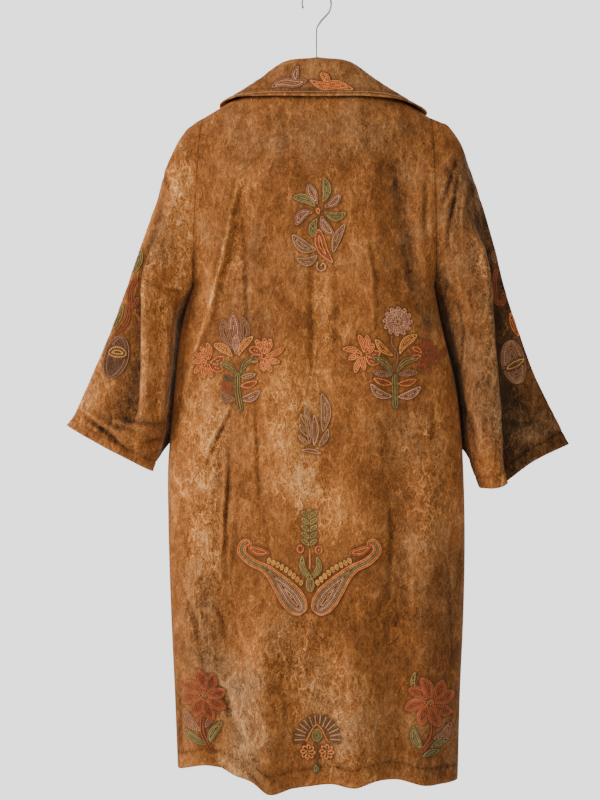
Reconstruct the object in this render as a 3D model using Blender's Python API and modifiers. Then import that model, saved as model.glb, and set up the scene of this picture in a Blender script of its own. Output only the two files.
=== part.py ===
"""A long velvet coat hanging on a coat hanger, as cloth walls at real size.

Metres, +Z up. The origin is the inside of the hook's bend, where the hanger hangs. The coat's front
faces -Y and its back faces +Y, and +X is the wearer's left. Heights are given as a drop below the origin.
"""

import math
from collections import namedtuple

import bmesh
import bpy
import numpy as np

# Cloth
WALL = 0.002
SEAM_GAP = 0.0008
ARMHOLE_GAP = 0.0010
COLLAR_GAP = 0.0009

# Body: shoulders, neck and hem
TIP_X = 0.189
TIP_DROP = 0.212
NECK_X = 0.066
NECK_DROP = 0.139
SHOULDER_SLOPE = (TIP_DROP - NECK_DROP) / (TIP_X - NECK_X)
NECK_DIP = {"back": 0.018, "front": 0.107}
NECK_CURVE = {"back": 2.0, "front": 1.2}
NECK_DEPTH = {"back": 0.036, "front": 0.046}
NECK_FADE = {"back": 0.05, "front": 0.12}
HEM_DROP = 1.285
HEM_SHAPE_STARTS = 0.75

# Body: how its depth grows below the shoulder seam, and how its sides close
SHOULDER_RUN = {"back": 0.30, "front": 0.228}
ARMHOLE_DEPTH = {"back": 0.038, "front": 0.036}
UNDERARM_DROP = 0.490
UNDERARM_X = {"left": 0.205, "right": 0.195}
SIDE_ROUNDING = 2.4
FACE_SIGN = {"back": 1.0, "front": -1.0}

# Sleeve: how much lower the folded part of the wearer's right cuff hangs
RIGHT_CUFF_HANG = 0.016

# Hanger
HOOK_RADIUS = 0.024
WIRE = 0.0016
ARM_RADIUS = 0.0060
ARM_END_X = 0.205
ARM_END_TURN = 0.4
ARM_GAP = 0.0010
HOOK_SEAT = 0.0001

# The body's half widths at the side seams, below the underarm, and its depths behind and before the middle
Outline = namedtuple("Outline", "drop left right back front")
BODY = [
    Outline(0.490, 0.205, 0.195, 0.062, 0.050),
    Outline(0.530, 0.218, 0.202, 0.064, 0.050),
    Outline(0.580, 0.229, 0.213, 0.065, 0.050),
    Outline(0.640, 0.235, 0.228, 0.067, 0.051),
    Outline(0.720, 0.242, 0.239, 0.069, 0.052),
    Outline(0.790, 0.247, 0.243, 0.071, 0.053),
    Outline(0.880, 0.2465, 0.2455, 0.074, 0.054),
    Outline(1.030, 0.242, 0.2435, 0.076, 0.055),
    Outline(1.160, 0.236, 0.2375, 0.078, 0.056),
    Outline(1.285, 0.231, 0.234, 0.080, 0.056),
]

Hem = namedtuple("Hem", "x drop")
BACK_HEM = [
    Hem(-0.234, 1.302),
    Hem(-0.204, 1.297),
    Hem(-0.169, 1.292),
    Hem(-0.126, 1.284),
    Hem(-0.095, 1.282),
    Hem(-0.055, 1.289),
    Hem(-0.022, 1.286),
    Hem(0.035, 1.289),
    Hem(0.081, 1.293),
    Hem(0.100, 1.281),
    Hem(0.136, 1.278),
    Hem(0.159, 1.269),
    Hem(0.183, 1.264),
    Hem(0.231, 1.285),
]
FRONT_HEM = [
    Hem(-0.234, 1.302),
    Hem(-0.150, 1.286),
    Hem(-0.060, 1.292),
    Hem(0.060, 1.290),
    Hem(0.150, 1.276),
    Hem(0.231, 1.285),
]

# A fold runs from its top to its foot. A rise below zero is a valley, and open is 1 where it runs out of
# the hem.
Fold =namedtuple("Fold", "top_x top_drop foot_x foot_drop half_width rise open")
BACK_FOLDS = [
    Fold(0.1245, 0.270, 0.197, 0.585, 0.016, 0.008, 0),
    Fold(0.100, 0.320, 0.160, 0.600, 0.020, -0.007, 0),
    Fold(0.053, 0.400, 0.050, 0.980, 0.030, 0.006, 0),
    Fold(-0.010, 0.360, -0.012, 0.920, 0.024, -0.007, 0),
    Fold(-0.085, 0.400, -0.098, 0.840, 0.022, 0.007, 0),
    Fold(-0.112, 0.235, -0.160, 0.560, 0.024, -0.013, 0),
    Fold(-0.172, 0.260, -0.186, 0.600, 0.016, 0.006, 0),
    Fold(-0.138, 0.660, -0.126, 1.310, 0.032, -0.011, 1),
    Fold(-0.182, 0.700, -0.170, 1.316, 0.028, 0.009, 1),
    Fold(0.141, 0.640, 0.158, 1.040, 0.020, -0.009, 0),
    Fold(0.091, 0.980, 0.081, 1.330, 0.030, 0.017, 1),
    Fold(0.134, 0.960, 0.148, 1.310, 0.030, -0.015, 1),
    Fold(0.200, 0.900, 0.195, 1.300, 0.020, 0.008, 1),
    Fold(-0.013, 1.000, -0.022, 1.320, 0.028, -0.007, 1),
    Fold(-0.055, 0.960, -0.058, 1.320, 0.024, 0.006, 1),
]
FRONT_FOLDS = [
    Fold(0.110, 0.330, 0.185, 0.640, 0.020, 0.007, 0),
    Fold(-0.112, 0.340, -0.180, 0.650, 0.020, 0.007, 0),
    Fold(0.070, 0.560, 0.080, 1.310, 0.030, -0.008, 1),
    Fold(-0.066, 0.600, -0.076, 1.310, 0.030, -0.008, 1),
    Fold(0.140, 0.700, 0.150, 1.310, 0.030, 0.009, 1),
    Fold(-0.138, 0.720, -0.152, 1.310, 0.028, 0.009, 1),
]
FRONT_EDGES = [(0.246, 0.004), (0.60, 0.007), (1.285, 0.014)]

# One row for each ring of a sleeve, from just past the armhole to the cuff. The outer line runs down from the
# shoulder and the inner line from the underarm. The deep fold at the back starts fold_at of the way
# across; its strength is fold, and flat is the depth of the sleeve outside it.
Ring = namedtuple("Ring", "outer_x outer_drop inner_x inner_drop back front fold fold_at flat")
LEFT_SLEEVE = [
    Ring(0.2025, 0.2208, 0.2165, 0.5090, 0.040, 0.036, 0.00, 0.25, 0.020),
    Ring(0.2158, 0.2318, 0.2245, 0.5250, 0.043, 0.036, 0.00, 0.25, 0.020),
    Ring(0.2324, 0.2573, 0.2310, 0.5400, 0.046, 0.037, 0.05, 0.22, 0.020),
    Ring(0.2500, 0.2980, 0.2350, 0.5600, 0.050, 0.037, 0.30, 0.20, 0.018),
    Ring(0.2639, 0.3486, 0.2370, 0.5830, 0.053, 0.036, 0.70, 0.18, 0.016),
    Ring(0.2938, 0.4333, 0.2385, 0.6120, 0.056, 0.033, 1.00, 0.24, 0.013),
    Ring(0.3170, 0.4980, 0.2415, 0.6400, 0.058, 0.030, 1.00, 0.46, 0.012),
    Ring(0.3408, 0.5627, 0.2450, 0.6720, 0.058, 0.028, 1.00, 0.61, 0.012),
    Ring(0.3625, 0.6140, 0.2485, 0.7020, 0.056, 0.026, 1.00, 0.70, 0.013),
    Ring(0.3820, 0.6600, 0.2520, 0.7350, 0.044, 0.022, 0.75, 0.76, 0.015),
    Ring(0.4000, 0.6989, 0.2610, 0.7700, 0.030, 0.018, 0.25, 0.78, 0.017),
    Ring(0.4150, 0.7204, 0.2722, 0.7968, 0.022, 0.014, 0.05, 0.78, 0.016),
]
RIGHT_SLEEVE = [
    Ring(0.2042, 0.2185, 0.2010, 0.5060, 0.040, 0.036, 0.00, 0.20, 0.020),
    Ring(0.2175, 0.2250, 0.2065, 0.5240, 0.043, 0.036, 0.00, 0.18, 0.020),
    Ring(0.2370, 0.2520, 0.2115, 0.5450, 0.046, 0.037, 0.05, 0.16, 0.020),
    Ring(0.2500, 0.2900, 0.2170, 0.5680, 0.049, 0.037, 0.30, 0.14, 0.018),
    Ring(0.2683, 0.3428, 0.2230, 0.5920, 0.052, 0.036, 0.65, 0.16, 0.016),
    Ring(0.2930, 0.4250, 0.2330, 0.6250, 0.055, 0.033, 1.00, 0.25, 0.013),
    Ring(0.3137, 0.5046, 0.2385, 0.6600, 0.057, 0.030, 1.00, 0.40, 0.011),
    Ring(0.3391, 0.5793, 0.2420, 0.6950, 0.058, 0.028, 1.00, 0.52, 0.010),
    Ring(0.3591, 0.6341, 0.2445, 0.7280, 0.057, 0.026, 1.00, 0.58, 0.010),
    Ring(0.3800, 0.6780, 0.2480, 0.7570, 0.054, 0.023, 1.00, 0.65, 0.010),
    Ring(0.3990, 0.7140, 0.2560, 0.7880, 0.050, 0.020, 1.00, 0.72, 0.010),
    Ring(0.4176, 0.7512, 0.2690, 0.8150, 0.045, 0.017, 0.95, 0.78, 0.010),
]

# The back half of a folded ring, from its outer line to its inner line: across is a share of the
# fold's place up to 1 and then of what is left up to 2, and deep is a share of flat or of the depth
Section = namedtuple("Section", "across flat deep")
FOLD_SECTION = [
    Section(0.00, 0.00, 0.00),
    Section(0.05, 0.75, 0.00),
    Section(0.35, 1.05, 0.00),
    Section(0.72, 0.95, 0.03),
    Section(0.98, 0.60, 0.28),
    Section(0.96, 0.20, 0.78),
    Section(1.08, 0.00, 1.00),
    Section(1.35, 0.00, 1.03),
    Section(1.65, 0.00, 0.88),
    Section(1.93, 0.00, 0.48),
    Section(2.00, 0.00, 0.00),
]

# Collar, from the centre back round to a front end. The roll is its upper fold: it rises above the neck
# seam and falls outwards. The leaf hangs from the roll to the edge, further out on the wearer's right, and
# ease is how far its middle lifts off the straight line between them.
Collar = namedtuple("Collar", "along rise fall edge_left edge_right edge_y edge_drop ease")
COLLAR = [
    Collar(0.00, 0.031, 0.006, 0.000, 0.000, 0.047, 0.190, 0.003),
    Collar(0.25, 0.024, 0.005, 0.090, 0.092, 0.043, 0.188, 0.003),
    Collar(0.40, 0.016, 0.004, 0.136, 0.146, 0.026, 0.185, -0.001),
    Collar(0.50, 0.012, 0.004, 0.160, 0.182, 0.003, 0.189, -0.003),
    Collar(0.60, 0.012, 0.004, 0.158, 0.172, -0.024, 0.203, 0.002),
    Collar(0.75, 0.012, 0.004, 0.142, 0.148, -0.041, 0.246, 0.002),
    Collar(0.90, 0.012, 0.004, 0.114, 0.116, -0.050, 0.292, 0.003),
    Collar(1.00, 0.012, 0.004, 0.092, 0.092, -0.056, 0.322, 0.003),
]
NECK_LEAN = 0.0020
ROLL_RADIUS = 0.004
LEAF_REST = 0.0032

# Sampling: columns as shares of the way to the neck point and then on to the side, rows as drops at the side
NECK_COLUMNS = [0, 0.3, 0.6, 0.82, 0.95, 1]
SIDE_COLUMNS = [0.12, 0.3, 0.5, 0.68, 0.82, 0.91, 0.965, 0.99, 0.9975, 1]
RIDGE_ROWS = [0, 0.0002, 0.0012, 0.0040, 0.0090, 0.0180]
CHEST_ROWS = [0.034, 0.060, 0.092, 0.130, 0.170, 0.208, 0.238, 0.260, 0.272, 0.278]
SKIRT_ROWS = [0.300, 0.330, 0.380, 0.450, 0.530, 0.620, 0.710, 0.790, 0.870, 0.940, 0.995, 1.040, 1.073]
BACK_RING_POINTS = 16
FRONT_RING_POINTS = 12
SLEEVE_RINGS = 21
COLLAR_STATIONS = 32
COLLAR_COLUMNS = [0, 0.08, 0.2, 0.32, 0.37, 0.41, 0.46, 0.6, 0.8, 1]

COLOURS = {
    "velvet": ((0.33, 0.13, 0.045, 1.0), 0.75, 0.0),
    "wood": ((0.45, 0.28, 0.14, 1.0), 0.45, 0.0),
    "steel": ((0.62, 0.63, 0.65, 1.0), 0.25, 1.0),
}


def smooth(at, xs, ys):
    """Reads ys at a place between its rows, on a smooth curve through them."""
    xs, ys, at = np.asarray(xs, float), np.asarray(ys, float), np.asarray(at, float)
    slope = np.gradient(ys, xs)
    i = np.clip(np.searchsorted(xs, at) - 1, 0, len(xs) - 2)
    step = xs[i + 1] - xs[i]
    t = np.clip((at - xs[i]) / step, 0, 1)
    start = ys[i] * (1 + 2 * t) * (1 - t) ** 2 + slope[i] * step * t * (1 - t) ** 2
    end = ys[i + 1] * t * t * (3 - 2 * t) + slope[i + 1] * step * t * t * (t - 1)
    return start + end


def column(rows, name):
    return [getattr(row, name) for row in rows]


def ramp(at, low, high):
    """0 up to low, 1 from high, and a soft step between them."""
    t = np.clip((np.asarray(at, float) - low) / (high - low), 0, 1)
    return t * t * (3 - 2 * t)


def top_drop(x, face):
    """The upper edge of the body at x: the shoulder seam, or the neckline between the neck points."""
    x = np.abs(x)
    shoulder = NECK_DROP + SHOULDER_SLOPE * (np.minimum(x, TIP_X) - NECK_X)
    inside = np.clip(x / NECK_X, 0, 1)
    if face == "back":
        dip = 1 - inside ** NECK_CURVE[face]
    else:
        dip = (1 - inside) ** NECK_CURVE[face]
    return np.where(x < NECK_X, NECK_DROP + NECK_DIP[face] * dip, shoulder)


def folds(x, drop, rows):
    """How far the large folds lift or sink the cloth at a place."""
    lift = np.zeros_like(np.asarray(x, float))
    for fold in rows:
        t = (drop - fold.top_drop) / (fold.foot_drop - fold.top_drop)
        line = fold.top_x + (fold.foot_x - fold.top_x) * t
        shown = ramp(t, 0, 0.35) * (1 - (1 - fold.open) * ramp(t, 0.6, 1))
        lift = lift + fold.rise * shown * np.exp(-(((x - line) / fold.half_width) ** 2))
    return lift


def armhole_share(drop):
    """The depth of the armhole at a height, as a share of its deepest: an upright oval."""
    middle, half = (TIP_DROP + UNDERARM_DROP) / 2, (UNDERARM_DROP - TIP_DROP) / 2
    return np.sqrt(np.clip(1 - ((drop - middle) / half) ** 2, 0, 1))


def side_x(drop, side):
    """How far out the body reaches: straight down the armhole, then along the side seam."""
    down = (drop - TIP_DROP) / (UNDERARM_DROP - TIP_DROP)
    armhole = TIP_X + (UNDERARM_X[side] - TIP_X) * down
    seam = smooth(drop, column(BODY, "drop"), column(BODY, side))
    return np.where(drop < UNDERARM_DROP, armhole, seam)


def body_depth(x, drop, face):
    """How far the body's outer surface stands from the side seams' plane at a place."""
    out = np.abs(x)
    top = top_drop(out, face)
    below = np.maximum(drop - top, 0)
    side_drop = TIP_DROP + (HEM_DROP - TIP_DROP) * below / (HEM_DROP - top)
    width = np.where(x > 0, side_x(side_drop, "left"), side_x(side_drop, "right"))
    part = np.minimum(out / width, 1)
    growth = np.sqrt(1 - (1 - np.clip(below / SHOULDER_RUN[face], 0, 1)) ** 2)
    middle = smooth(drop, column(BODY, "drop"), column(BODY, face)) * growth
    armhole = ARMHOLE_DEPTH[face] * armhole_share(side_drop)
    depth = np.cbrt((middle * np.sqrt(1 - part**SIDE_ROUNDING)) ** 3 + armhole**3)
    neck = NECK_DEPTH[face] * np.sqrt(np.clip(1 - (out / NECK_X) ** 2, 0, 1))
    neck = neck * np.exp(-below / NECK_FADE[face])
    rows = BACK_FOLDS if face == "back" else FRONT_FOLDS
    depth = np.hypot(depth, neck) + folds(x, drop, rows) * (1 - part**8) * ramp(below, 0, 0.05)
    return np.maximum(depth, 0)


def body_point(share, length, face):
    """A point of the body's outer surface. share runs from -1 at the wearer's right side to 1 at the
    left, and length from 0 at the shoulder seam to 1 at the hem."""
    side_drop = TIP_DROP + (HEM_DROP - TIP_DROP) * length
    to_left = share > 0 if face == "back" else share >= 0
    width = np.where(to_left, side_x(side_drop, "left"), side_x(side_drop, "right"))
    part = np.abs(share)
    first_edge = 0 if face == "back" else FRONT_EDGES[0][1]
    edge_x = 0 if face == "back" else np.interp(side_drop, *zip(*FRONT_EDGES))
    x = (edge_x + (width - edge_x) * part) * np.where(to_left, 1, -1)
    top = top_drop(first_edge + (TIP_X - first_edge) * part, face)
    drop = top + (HEM_DROP - top) * length
    depth = body_depth(x, drop, face)
    hem = BACK_HEM if face == "back" else FRONT_HEM
    shape = ramp(length, HEM_SHAPE_STARTS, 1)
    drop = drop + (smooth(x, column(hem, "x"), column(hem, "drop")) - HEM_DROP) * shape
    return x, FACE_SIGN[face] * (SEAM_GAP / 2 + depth), -drop


def fold_curve(t, fold_at, flat, deep):
    """The back half of a folded ring: how far across and how deep it is, from 0 to 1 along it."""
    stations = np.linspace(0, 1, len(FOLD_SECTION))
    across = smooth(t, stations, column(FOLD_SECTION, "across"))
    depth = flat * smooth(t, stations, column(FOLD_SECTION, "flat"))
    depth = depth + deep * smooth(t, stations, column(FOLD_SECTION, "deep"))
    before, after = np.minimum(across, 1), np.maximum(across - 1, 0)
    return fold_at * before + (1 - fold_at) * after, depth


def sleeve_rings(side):
    """The rows of a sleeve's table, led by the armhole that it is sewn into."""
    armhole = Ring(
        outer_x=TIP_X,
        outer_drop=TIP_DROP,
        inner_x=UNDERARM_X[side],
        inner_drop=UNDERARM_DROP,
        back=ARMHOLE_DEPTH["back"],
        front=ARMHOLE_DEPTH["front"],
        fold=0,
        fold_at=0.25,
        flat=0.02,
    )
    return [armhole] + (LEFT_SLEEVE if side == "left" else RIGHT_SLEEVE)


def sleeve_point(turn, length, side):
    """A point of a sleeve's outer surface. turn runs once round a ring, from the outer line over the
    back to the inner line at 0.5 and back over the front; length runs from the armhole to the cuff."""
    rows = sleeve_rings(side)
    stations = np.linspace(0, 1, len(rows))
    ring = Ring(*(smooth(length, stations, column(rows, name)) for name in Ring._fields))
    at_back = turn <= 0.5
    angle = 2 * math.pi * turn
    across = (1 - np.cos(angle)) / 2
    depth = np.where(at_back, ring.back, ring.front) * np.sin(angle)
    folded = fold_curve(np.minimum(turn * 2, 1), ring.fold_at, ring.flat, ring.back)
    strength = np.where(at_back, np.clip(ring.fold, 0, 1), 0)
    across = across + (folded[0] - across) * strength
    depth = depth + (folded[1] - depth) * strength
    x = ring.outer_x + (ring.inner_x - ring.outer_x) * across + ARMHOLE_GAP
    drop = ring.outer_drop + (ring.inner_drop - ring.outer_drop) * across
    if side == "right":
        hang = ramp(length, 0.8, 1) * np.exp(-(((across - ring.fold_at) / 0.28) ** 2))
        drop = drop + RIGHT_CUFF_HANG * hang * at_back
    return x * (1 if side == "left" else -1), depth, -drop


def neck_seam(along):
    """The middle of the body's wall at the neckline, on the wearer's left: 0 at the centre back, 0.5 at
    the shoulder and 1 at the front end."""
    x_back = NECK_X * np.sin(math.pi * along)
    x_front = NECK_X * (1 - (1 - FRONT_EDGES[0][1] / NECK_X) * np.clip(2 * along - 1, 0, 1))
    at_back = along <= 0.5
    x = np.where(at_back, x_back, x_front)
    share = np.sqrt(np.clip(1 - (x / NECK_X) ** 2, 0, 1))
    y = np.where(at_back, NECK_DEPTH["back"] - WALL / 2, -NECK_DEPTH["front"] + WALL / 2) * share
    drop = np.where(at_back, top_drop(x, "back"), top_drop(x, "front"))
    return np.stack([x, y, -drop], axis=-1)


def neck_lean(along):
    """The way the collar leaves the neckline: in the cloth and square to the seam, and upright in front."""
    step = 0.02
    run = neck_seam(np.minimum(along + step, 1)) - neck_seam(np.maximum(along - step, 0))
    inwards = np.abs(run[..., 2]) * (1 - ramp(along, 0.55, 1))
    lean = np.stack([-inwards, 0 * inwards, np.abs(run[..., 0]) + 1e-4], axis=-1)
    return lean / np.linalg.norm(lean, axis=-1, keepdims=True)


def collar_point(around, across):
    """A point in the middle of the collar's cloth. around runs from -1 at the wearer's right front end
    to 1 at the left, and across from 0 at the neck seam over the roll at 0.4 to 1 at the edge."""
    along = np.abs(around)
    row = Collar(*(smooth(along, column(COLLAR, "along"), column(COLLAR, name)) for name in Collar._fields))
    seam, lean = neck_seam(along), neck_lean(along)
    deep = NECK_DEPTH["back"] if along <= 0.5 else NECK_DEPTH["front"]
    out = seam / [NECK_X**2, deep**2, 1] * [1, 1, 0]
    out = out / np.linalg.norm(out)
    edge_x = row.edge_left if around >= 0 else row.edge_right
    edge_drop = row.edge_drop + SHOULDER_SLOPE * (edge_x - row.edge_left)
    edge = np.array([edge_x, row.edge_y, -edge_drop])
    foot, start = seam + lean * COLLAR_GAP, seam + lean * NECK_LEAN
    roll = seam + lean * row.rise + out * row.fall
    inside = roll - out * ROLL_RADIUS - lean * ROLL_RADIUS
    outside = roll + out * ROLL_RADIUS - lean * ROLL_RADIUS * 0.7
    lift = np.array([0, 0, row.ease])
    third = outside + (edge - outside) * 0.34 + lift
    two_thirds = outside + (edge - outside) * 0.68 + lift * 0.6
    line = [foot, start, inside, roll, outside, third, two_thirds, edge]
    knots = [0, 0.08, 0.34, 0.4, 0.46, 0.64, 0.82, 1]
    x, y, z = (smooth(across, knots, [p[k] for p in line]) for k in range(3))
    x = x if around >= 0 else -x
    if across > 0.4:
        face = "back" if y >= 0 else "front"
        rest = LEAF_REST * ramp(-z - top_drop(x, face), -0.004, 0.003)
        y = FACE_SIGN[face] * max(abs(y), body_depth(x, -z, face) + rest)
    return np.array([x, y, z])


def clear_scene():
    for thing in list(bpy.data.objects):
        bpy.data.objects.remove(thing)


def material(name):
    colour, roughness, metallic = COLOURS[name]
    made = bpy.data.materials.get(name) or bpy.data.materials.new(name)
    made.use_nodes = True
    shader = made.node_tree.nodes["Principled BSDF"]
    shader.inputs["Base Color"].default_value = colour
    shader.inputs["Roughness"].default_value = roughness
    shader.inputs["Metallic"].default_value = metallic
    return made


def finish(thing, collection, finish_name):
    for group in list(thing.users_collection):
        group.objects.unlink(thing)
    collection.objects.link(thing)
    thing.data.materials.append(material(finish_name))


def cloth(name, collection, points, closed=False, centred=False, flip=False):
    """A wall of cloth: a grid whose points are moved to the given rows, then thickened inwards. closed
    joins the first and the last column into a tube."""
    points = np.asarray(points)
    rows, columns = points.shape[:2]
    sheet = bmesh.new()
    bmesh.ops.create_grid(sheet, x_segments=columns - 1, y_segments=rows - 1, size=1)
    for vertex in sheet.verts:
        j = round((vertex.co.x + 1) / 2 * (columns - 1))
        i = round((vertex.co.y + 1) / 2 * (rows - 1))
        vertex.co = points[i, j]
    if closed:
        bmesh.ops.remove_doubles(sheet, verts=sheet.verts, dist=1e-5)
    if flip:
        bmesh.ops.reverse_faces(sheet, faces=sheet.faces)
    mesh = bpy.data.meshes.new(name)
    sheet.to_mesh(mesh)
    sheet.free()
    mesh.shade_smooth()
    thing = bpy.data.objects.new(name, mesh)
    bpy.context.scene.collection.objects.link(thing)
    wall = thing.modifiers.new("wall", "SOLIDIFY")
    wall.thickness = WALL
    wall.offset = 0 if centred else -1
    wall.use_even_offset = False
    finish(thing, collection, "velvet")
    return thing


def body_rows():
    """The rows of a body panel as shares of its length at the side."""
    drops = RIDGE_ROWS + CHEST_ROWS + SKIRT_ROWS
    return [drop / (HEM_DROP - TIP_DROP) for drop in drops]


def body_columns(face):
    """The columns of half a body panel, from the centre to the side, with one at the neck point."""
    edge_x = 0 if face == "back" else FRONT_EDGES[0][1]
    neck = (NECK_X - edge_x) / (TIP_X - edge_x)
    return [neck * share for share in NECK_COLUMNS] + [neck + (1 - neck) * share for share in SIDE_COLUMNS]


def body_panel(name, collection, columns, face):
    rows = [np.stack(body_point(np.array(columns), length, face), axis=-1) for length in body_rows()]
    return cloth(name, collection, rows, flip=face == "front")


def sleeve(name, collection, side):
    back = np.linspace(0, 0.5, BACK_RING_POINTS + 1)
    front = np.linspace(0.5, 1, FRONT_RING_POINTS + 1)[1:]
    turns = np.concatenate([back, front])
    if side == "left":
        turns = turns[::-1]
    lengths = np.linspace(0, 1, SLEEVE_RINGS)
    rings = [np.stack(sleeve_point(turns, length, side), axis=-1) for length in lengths]
    for ring in rings:
        ring[-1] = ring[0]
    return cloth(name, collection, rings, closed=True)


def collar(collection):
    stations = np.linspace(-1, 1, COLLAR_STATIONS + 1)
    rows = [[collar_point(np.array(around), share) for around in stations] for share in COLLAR_COLUMNS]
    return cloth("collar", collection, rows, centred=True, flip=True)


def bar(name, collection, points, radius, finish_name, sides=2):
    """A round bar along the given points."""
    curve = bpy.data.curves.new(name, "CURVE")
    curve.dimensions = "3D"
    curve.bevel_depth = radius
    curve.bevel_resolution = sides
    curve.use_fill_caps = True
    spline = curve.splines.new("POLY")
    spline.points.add(len(points) - 1)
    for knot, point in zip(spline.points, points):
        knot.co = (*point, 1)
    thing = bpy.data.objects.new(name, curve)
    bpy.context.scene.collection.objects.link(thing)
    finish(thing, collection, finish_name)
    return thing


def arm_centre(x):
    """The middle of the hanger's bar: under the shoulder seams, and one round bend between them."""
    under = (WALL + ARM_GAP + ARM_RADIUS) * math.hypot(1, SHOULDER_SLOPE)
    bend = SHOULDER_SLOPE * NECK_X / 2
    if abs(x) < NECK_X:
        return NECK_DROP + under - bend + bend * (x / NECK_X) ** 2
    past_tip = max(abs(x) - TIP_X, 0)
    return NECK_DROP + under + SHOULDER_SLOPE * (abs(x) - NECK_X) + ARM_END_TURN * past_tip


def hanger(collection):
    arm_xs = [-ARM_END_X, *np.linspace(-TIP_X, TIP_X, 21), ARM_END_X]
    bar("hanger_bar", collection, [(x, 0, -arm_centre(x)) for x in arm_xs], ARM_RADIUS, "wood", sides=3)
    centre_drop = HOOK_RADIUS - WIRE
    hook = []
    for degrees in range(-15, 226, 12):
        turn = math.radians(degrees)
        hook.append((HOOK_RADIUS * math.cos(turn), 0, HOOK_RADIUS * math.sin(turn) - centre_drop))
    last_x, _, last_z = hook[-1]
    foot = -arm_centre(0) + ARM_RADIUS + HOOK_SEAT
    bend_z = last_z + last_x
    hook += [(last_x * 0.45, 0, last_z + last_x * 0.58), (last_x * 0.12, 0, bend_z - 0.0015)]
    hook += [(0, 0, bend_z - 0.007), (0, 0, (bend_z + foot) / 2), (0, 0, foot)]
    bar("hanger_hook", collection, hook, WIRE, "steel")


def main():
    clear_scene()
    collection = bpy.data.collections.new("velvet_coat")
    bpy.context.scene.collection.children.link(collection)
    half = body_columns("back")
    body_panel("back", collection, [-share for share in reversed(half)] + half[1:], "back")
    half = body_columns("front")
    body_panel("front_left", collection, half, "front")
    body_panel("front_right", collection, [-share for share in reversed(half[1:])] + [-1e-9], "front")
    sleeve("sleeve_left", collection, "left")
    sleeve("sleeve_right", collection, "right")
    collar(collection)
    hanger(collection)


main()
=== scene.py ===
# %% [markdown]
# # A long velvet coat on a coat hanger
#
# The real coat is crushed velvet, sewn from a back, two fronts, two wide sleeves and a turned-down collar,
# and worked all over with chain-stitch flowers and paisleys. It hangs from a wire hook.
#
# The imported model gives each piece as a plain 2 mm wall. This lesson dresses it: finer cloth with its
# creases, the nap of the velvet, the sewing and the embroidery. The rigid hanger keeps its own shape.

import math
from collections import namedtuple

import bpy
import numpy as np
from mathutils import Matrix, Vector, noise
from mathutils.bvhtree import BVHTree
from mathutils.kdtree import KDTree


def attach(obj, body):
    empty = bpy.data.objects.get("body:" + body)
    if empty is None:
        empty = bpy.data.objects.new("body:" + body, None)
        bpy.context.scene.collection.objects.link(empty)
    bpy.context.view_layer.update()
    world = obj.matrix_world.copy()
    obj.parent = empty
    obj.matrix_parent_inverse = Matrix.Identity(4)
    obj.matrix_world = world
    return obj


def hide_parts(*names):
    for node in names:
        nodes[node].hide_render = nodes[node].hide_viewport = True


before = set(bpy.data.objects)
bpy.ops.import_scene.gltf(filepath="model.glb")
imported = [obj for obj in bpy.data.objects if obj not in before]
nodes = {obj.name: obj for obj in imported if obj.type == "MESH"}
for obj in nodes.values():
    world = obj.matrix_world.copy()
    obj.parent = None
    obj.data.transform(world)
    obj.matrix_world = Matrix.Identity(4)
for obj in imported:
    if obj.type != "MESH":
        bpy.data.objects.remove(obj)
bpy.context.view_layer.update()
print("nodes:", ", ".join(sorted(nodes)))

# %% [markdown]
# ## The camera and the light
#
# The coat is seen straight from behind, so the camera stands on the +Y side and looks along -Y. The daylight
# comes from one side, a little in front of the cloth, because velvet shows its creases only in raking light.

# %% Camera, floor and lights
CAMERA = Vector((0.028, 1.53, -0.679))
LENS = 41.48
FLOOR_DROP = 1.9
FLOOR_SIZE = 2.3
Lamp = namedtuple("Lamp", "name place target size watts colour")
LAMPS = [
    Lamp("window", (2.4, 0.95, 0.0), (0, 0, -0.64), 0.9, 92, (1.0, 0.97, 0.93)),
    Lamp("fill", (-0.5, 2.5, 0.1), (0, 0, -0.7), 1.4, 26, (0.97, 0.98, 1.0)),
    Lamp("front_window", (-1.6, -1.9, 0.3), (0, 0, -0.65), 1.2, 48, (1.0, 0.98, 0.95)),
]
SOFT_LIGHT = (0.94, 0.96, 0.97)
SOFT_STRENGTH = 0.50
BACKDROP = (0.96, 0.97, 0.98)
BACKDROP_STRENGTH = 2.2


def add_camera():
    lens = bpy.data.cameras.new("camera")
    lens.lens = LENS
    camera = bpy.data.objects.new("camera", lens)
    bpy.context.scene.collection.objects.link(camera)
    camera.location = CAMERA
    camera.rotation_euler = (math.radians(90), 0, math.radians(180))
    bpy.context.scene.camera = camera


def add_light(lamp):
    light = bpy.data.lights.new(lamp.name, "AREA")
    light.size = lamp.size
    light.energy = lamp.watts
    light.color = lamp.colour
    thing = bpy.data.objects.new(lamp.name, light)
    bpy.context.scene.collection.objects.link(thing)
    thing.location = lamp.place
    thing.rotation_euler = (Vector(lamp.target) - Vector(lamp.place)).to_track_quat("-Z", "Y").to_euler()


def plain_material(name, colour, roughness, values=()):
    """A material of one colour, with any other values that its shader takes."""
    made = bpy.data.materials.new(name)
    made.use_nodes = True
    inputs = made.node_tree.nodes["Principled BSDF"].inputs
    for key, value in {"Base Color": (*colour, 1), "Roughness": roughness, **dict(values)}.items():
        inputs[key].default_value = value
    return made


def deselect_all():
    for thing in list(bpy.context.selected_objects):
        thing.select_set(False)


add_camera()
deselect_all()
bpy.ops.mesh.primitive_plane_add(size=FLOOR_SIZE, location=(0, 0, -FLOOR_DROP))
floor = bpy.context.active_object
floor.name = "floor"
floor.data.materials.append(plain_material("pale_floor", (0.72, 0.73, 0.73), 0.9))
for lamp in LAMPS:
    add_light(lamp)


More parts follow.
